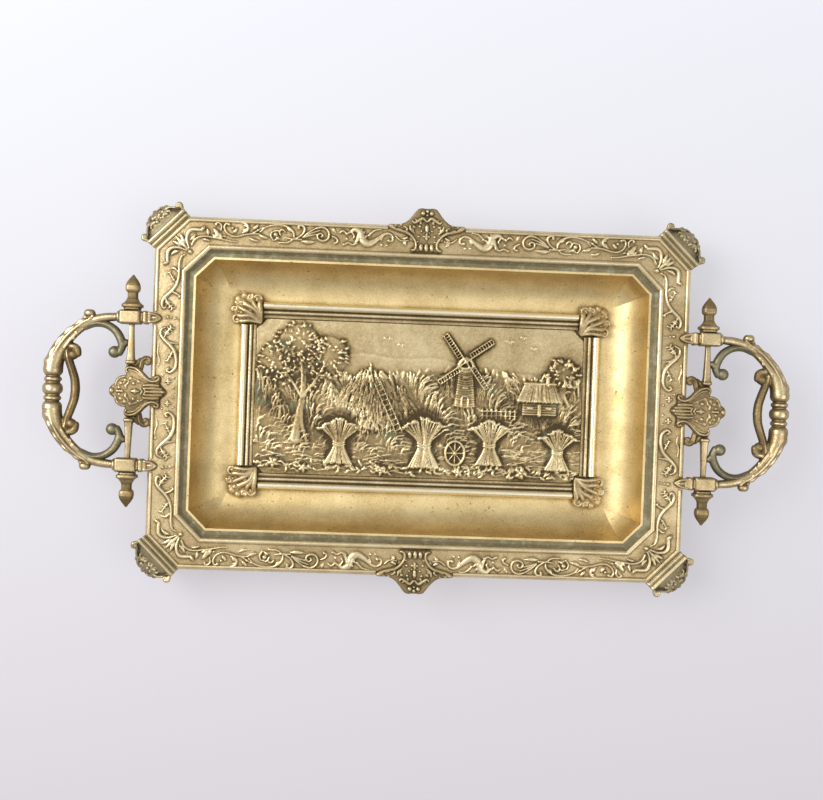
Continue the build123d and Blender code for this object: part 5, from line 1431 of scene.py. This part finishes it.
def draw_mill(view, root, height, sail):
    """A tapering tower with a cap, a door, windows and four lattice sails."""
    x, y = root
    view.clear((x, y + height * 0.4), height * 0.34, 0.45)
    courses = 17
    cap = y + height * 0.86
    for row in range(courses):
        level = y + (cap - y) * row / courses
        half = height * (0.2 - 0.0042 * row)
        course = [(x - half, level), (x, level - 0.8), (x + half, level)]
        view.stroke(course, [1.0, 1.15, 1.0], 1.45 + 0.1 * (row % 2))
    roof = [(-5.2, 0), (-3.2, 3.4), (0, 4.8), (3.2, 3.4), (5.2, 0)]
    view.stroke([(x + aside, cap + up) for aside, up in roof], [1.3, 1.8, 1.3], 1.8)
    view.stroke([(x - 5.6, cap - 0.4), (x, cap - 1.4), (x + 5.6, cap - 0.4)], [0.6, 0.8, 0.6], 2.0)
    door = [(-2.1, -0.8), (-2.1, 5), (0, 6.6), (2.1, 5), (2.1, -0.8)]
    view.stroke([(x + aside, y + up) for aside, up in door], [0.55, 0.55], 2.1)
    for level in (0.38, 0.62):
        view.stroke([(x - 1.1, y + height * level), (x + 1.1, y + height * level)], [1.1, 1.1], 2.0, 0.8)
    hub = np.array((x, y + height * 0.95))
    for number in range(4):
        angle = math.radians(35 + 90 * number)
        out = np.array((math.cos(angle), math.sin(angle)))
        side = np.array((-out[1], out[0])) * 3.2
        view.stroke([hub, hub + out * sail], [0.8, 0.55], 2.5)
        view.stroke([hub + out * sail * 0.22 + side, hub + out * sail + side], [0.4, 0.4], 2.2)
        for rung in np.linspace(0.22, 1.0, 10):
            foot = hub + out * sail * rung
            view.stroke([foot, foot + side], [0.36, 0.36], 2.2, steps=2)
    view.bead(hub, 1.8, 2.7)


def draw_cottage(view, root, height, rng):
    """A thatched cottage with a chimney, a door and two windows, beside a paling fence."""
    x, y = root
    view.clear((x, y + height * 0.3), height * 0.75, 0.4)

    def bar(x0, y0, x1, y1, half, rise, groove=0.0):
        view.stroke([(x + x0, y + y0), (x + x1, y + y1)], [half, half], rise, groove)

    for row in range(6):
        bar(-height * 0.53, row * 1.6, height * 0.53, row * 1.6, 0.85, 1.3)
    for window in (-6.4, 6.2):
        bar(window - 1, 4.4, window + 1, 4.4, 1.3, 1.8, 0.7)
    bar(0, -0.5, 0, 6, 1.5, 1.9, 0.6)
    for u in np.linspace(-0.5, 0.5, 60):
        top = (x + u * height * 0.98 + rng.uniform(-0.2, 0.2), y + height * 0.98)
        eave = (x + u * height * 1.44, y + height * 0.4 + rng.uniform(-0.7, 0.5))
        view.stroke([top, eave], [0.4, 0.6], rng.uniform(1.6, 2.2), steps=2)
    bar(-height * 0.5, height, height * 0.5, height, 1.0, 2.3, 0.2)
    bar(5, height - 1, 5, height + 4.4, 1.7, 2.1)
    bar(3.2, height + 4.6, 6.8, height + 4.6, 0.7, 2.4)
    for post in range(8):
        px = x - height * 0.8 - post * 3.1
        view.stroke([(px, y - 4), (px, y + 2.6)], [0.6, 0.5], 2.0)
    for rail in (-2.0, 1.0):
        bar(-height * 1.9, rail, -height * 0.75, rail + 0.3, 0.45, 1.8)


def draw_wheel(view, centre, radius):
    """An old cart wheel left in the stubble."""
    view.clear(centre, radius, 0.3)
    turns = np.linspace(0, 2 * math.pi, 25)
    rim = [(centre[0] + radius * math.cos(a) * 0.8, centre[1] + radius * math.sin(a)) for a in turns]
    view.stroke(rim, [1.0, 1.0], 2.0, 0.2, steps=2)
    for end in rim[:-1:3]:
        view.stroke([centre, end], [0.5, 0.45], 1.7)
    view.bead(centre, 1.9, 2.4)


def draw_corn(view, low, high, count, lean, tall, rng):
    """Standing corn: close strokes that lean in clumps, as the wind lays them."""
    rows = np.sort(rng.uniform(low[1], high[1], count))[::-1]
    for y in rows:
        x = rng.uniform(low[0], high[0])
        sway = lean + 0.75 * math.sin(x / 6.5 + y / 9.0) + 0.35 * math.sin(x / 2.7) + rng.uniform(-0.3, 0.3)
        size = tall * rng.uniform(0.7, 1.25)
        tip = (x + sway * size * 0.55, y + size * (1 - 0.12 * sway**2))
        middle = (x + sway * size * 0.12, y + size * 0.55)
        depth = 0.55 + 0.75 * (0.5 + 0.5 * math.sin(x / 3.4 + y / 5.0)) + rng.uniform(-0.2, 0.35)
        view.stroke([(x, y), middle, tip], [0.35, 0.55, 0.7], depth, steps=3)


def add_panel():
    """Draws the landscape on the panel: hills, corn and stubble first, then what stands in them."""
    low, high = panel_low, panel_high
    length, width = (high - low)[:2]
    ground = low[2] + panel_thickness

    def spot(u, v):
        """A place from its shares of the panel's length and width."""
        return u * length, v * width

    view = Relief((low[0], low[1]), (high[0], high[1]), 0.49)
    rng = np.random.default_rng(21)
    grid_x, grid_y = np.meshgrid(view.x, view.y)
    ridge = 25 + 5.5 * np.sin(grid_x / 31.0 + 2.2) + 1.8 * np.sin(grid_x / 9.0)
    view.height += 0.22 * np.clip((ridge - grid_y) / 1.2, 0, 1)
    near_ridge = 17.5 + 3.6 * np.sin(grid_x / 24.0 + 0.4) + 1.2 * np.sin(grid_x / 6.0 + 1)
    land = np.clip((near_ridge - grid_y) / 1.6, 0, 1)
    view.height += 0.3 * land
    for number in range(60):
        x = -106 + 3.6 * number + rng.uniform(-1.4, 1.4)
        y = 17 + 3.6 * math.sin(x / 24.0 + 0.4) + rng.uniform(-1, 1)
        top = (x + rng.uniform(-1.5, 1.5), y + rng.uniform(1.5, 4.2))
        view.stroke([(x, y), top], [1.5, 0.8], rng.uniform(0.35, 0.6))
    draw_corn(view, (-108, -16), (108, 12), 1500, 0.15, 8.0, rng)
    draw_corn(view, (-108, -38), (108, -14), 620, 1.1, 6.0, rng)
    for _ in range(520):
        x, y = rng.uniform(-107, 107), rng.uniform(-49, -30)
        turn = rng.uniform(-0.5, 0.9) + (math.pi if rng.random() < 0.4 else 0)
        size = rng.uniform(4, 9)
        run, rise = size * math.cos(turn), size * math.sin(turn)
        path = [(x, y), (x + run * 0.5, y + 0.6), (x + run, y + rise * 0.3)]
        view.stroke(path, [0.4, 0.6, 0.3], rng.uniform(0.6, 1.4), steps=3)
    shares = ((-0.43, 0.22, 0.13), (-0.37, 0.33, 0.14), (-0.28, 0.27, 0.13), (-0.35, 0.18, 0.12))
    oak = [(*spot(u, v), r * width) for u, v, r in shares]
    far_tree = [(*spot(0.44, 0.2), 0.1 * width)]
    draw_tree(view, spot(-0.36, -0.26), 0.52 * width, oak, rng)
    draw_tree(view, spot(0.44, 0.02), 0.22 * width, far_tree, rng)
    draw_mill(view, spot(0.14, -0.02), 0.3 * width, 0.22 * width)
    draw_cottage(view, spot(0.37, -0.06), 0.2 * width, rng)
    draw_rick(view, spot(-0.15, -0.17), 0.38 * width, rng)
    draw_wheel(view, spot(0.115, -0.33), 8.0)
    for u, v, tall in ((-0.24, -0.42, 0.3), (0.02, -0.43, 0.34), (0.22, -0.4, 0.3), (0.43, -0.42, 0.27)):
        draw_sheaf(view, spot(u, v), tall * width, rng)
    for _ in range(170):
        x, y = rng.uniform(-106, 106), rng.uniform(-50.5, -44)
        turn = rng.uniform(0.2, 2.9)
        tip = (x + 5.0 * math.cos(turn), y + 4.6 * math.sin(turn))
        view.leaf((x, y), tip, rng.uniform(0.7, 1.2), rng.uniform(1.1, 1.9), rng.uniform(-0.25, 0.25))
    for x, y, radius in ((-96, -44, 3.2), (-76, -47, 2.6), (-24, -47, 3.0), (28, -47, 2.8), (70, -46, 3.4)):
        view.flower((x, y), radius, 2.0, 5, x)
    for x, y, size in ((-22, 40, 3.0), (-13, 36, 2.4), (60, 41, 3.0), (69, 44, 2.2), (76, 37, 2.0)):
        for wing in (-size, size):
            view.stroke([(x + wing, y + 0.8), (x + wing / 2, y + 1.5), (x, y)], [0.25, 0.5, 0.35], 0.5)
    view.height += 0.08 * blur(rng.standard_normal(view.height.shape), 1)
    view.height = 0.75 * view.height + 0.5 * blur(view.height, 1)
    # near and far give the carved forms painted highlights and painted shadow outlines round them; shade
    # paints the land darker than the sky, darker still under the tree crowns and lighter towards the front.
    near, far = (view.height - blur(view.height, reach) for reach in (2, 8))
    shade = 0.68 - 0.3 * land + 0.1 * np.sin(grid_x / 13.0 + grid_y / 7.0) * land
    for x, y, radius in oak + far_tree:
        shade -= 0.42 * np.clip(1.35 - np.hypot(grid_x - x, grid_y - y) / radius, 0, 0.5)
    shade += 0.12 * np.clip((-26 - grid_y) / 10, 0, 1)
    wear_and_shading = shade + near + 0.42 * far
    fits = np.abs(grid_x) + np.abs(grid_y) < high[0] + high[1] - panel_cut
    keep = fits[:-1, :-1] & fits[1:, 1:]
    shape = relief_shape(view, keep, ground, panel_thickness, wear_and_shading, fan=True)
    mesh = grid_mesh("panel_relief", *shape)
    bright, dark = (0.80, 0.67, 0.39, 1), (0.085, 0.06, 0.03, 1)
    material = brass("panel_brass_carved", bright=bright, dark=dark, verdigris=1.0, grime_and_shade=2.4)
    finish_piece("panel_relief", mesh, material, ("relief_panel",))


# ---- Putting it together ----
add_camera()
add_floor()
add_light()
# The step round the basin, darkened by old verdigris and by painted shade under the inner moulding.
stain_and_shade = (band_inner + 3.4, band_inner + 7.6)  # the step round the basin
plain = {
    "rim_frame": brass("rim_brass_plain", wear_and_shading=0.78, verdigris=0.5, stain_and_shade=stain_and_shade),
    "basin": brass(
        "basin_brass_plain",
        wear_and_shading=0.8,
        bright=(0.85, 0.68, 0.36, 1),
        middle=(0.50, 0.34, 0.115, 1),
        verdigris=0.12,
        polish=0.47,
        grime_and_shade=3.0,
        specks=0.45,
    ),
}
plain_other = brass("casting_brass_plain", wear_and_shading=0.58)
for name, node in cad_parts.items():
    for slot in node.material_slots:
        slot.material = plain.get(name, plain_other)
add_ornament_band()
add_crests()
add_cartouches()
add_corner_bosses()
add_panel_frame()
add_grips()
add_feet()
add_handle_bars()
add_panel()

bpy.context.scene.view_settings.view_transform = "Standard"
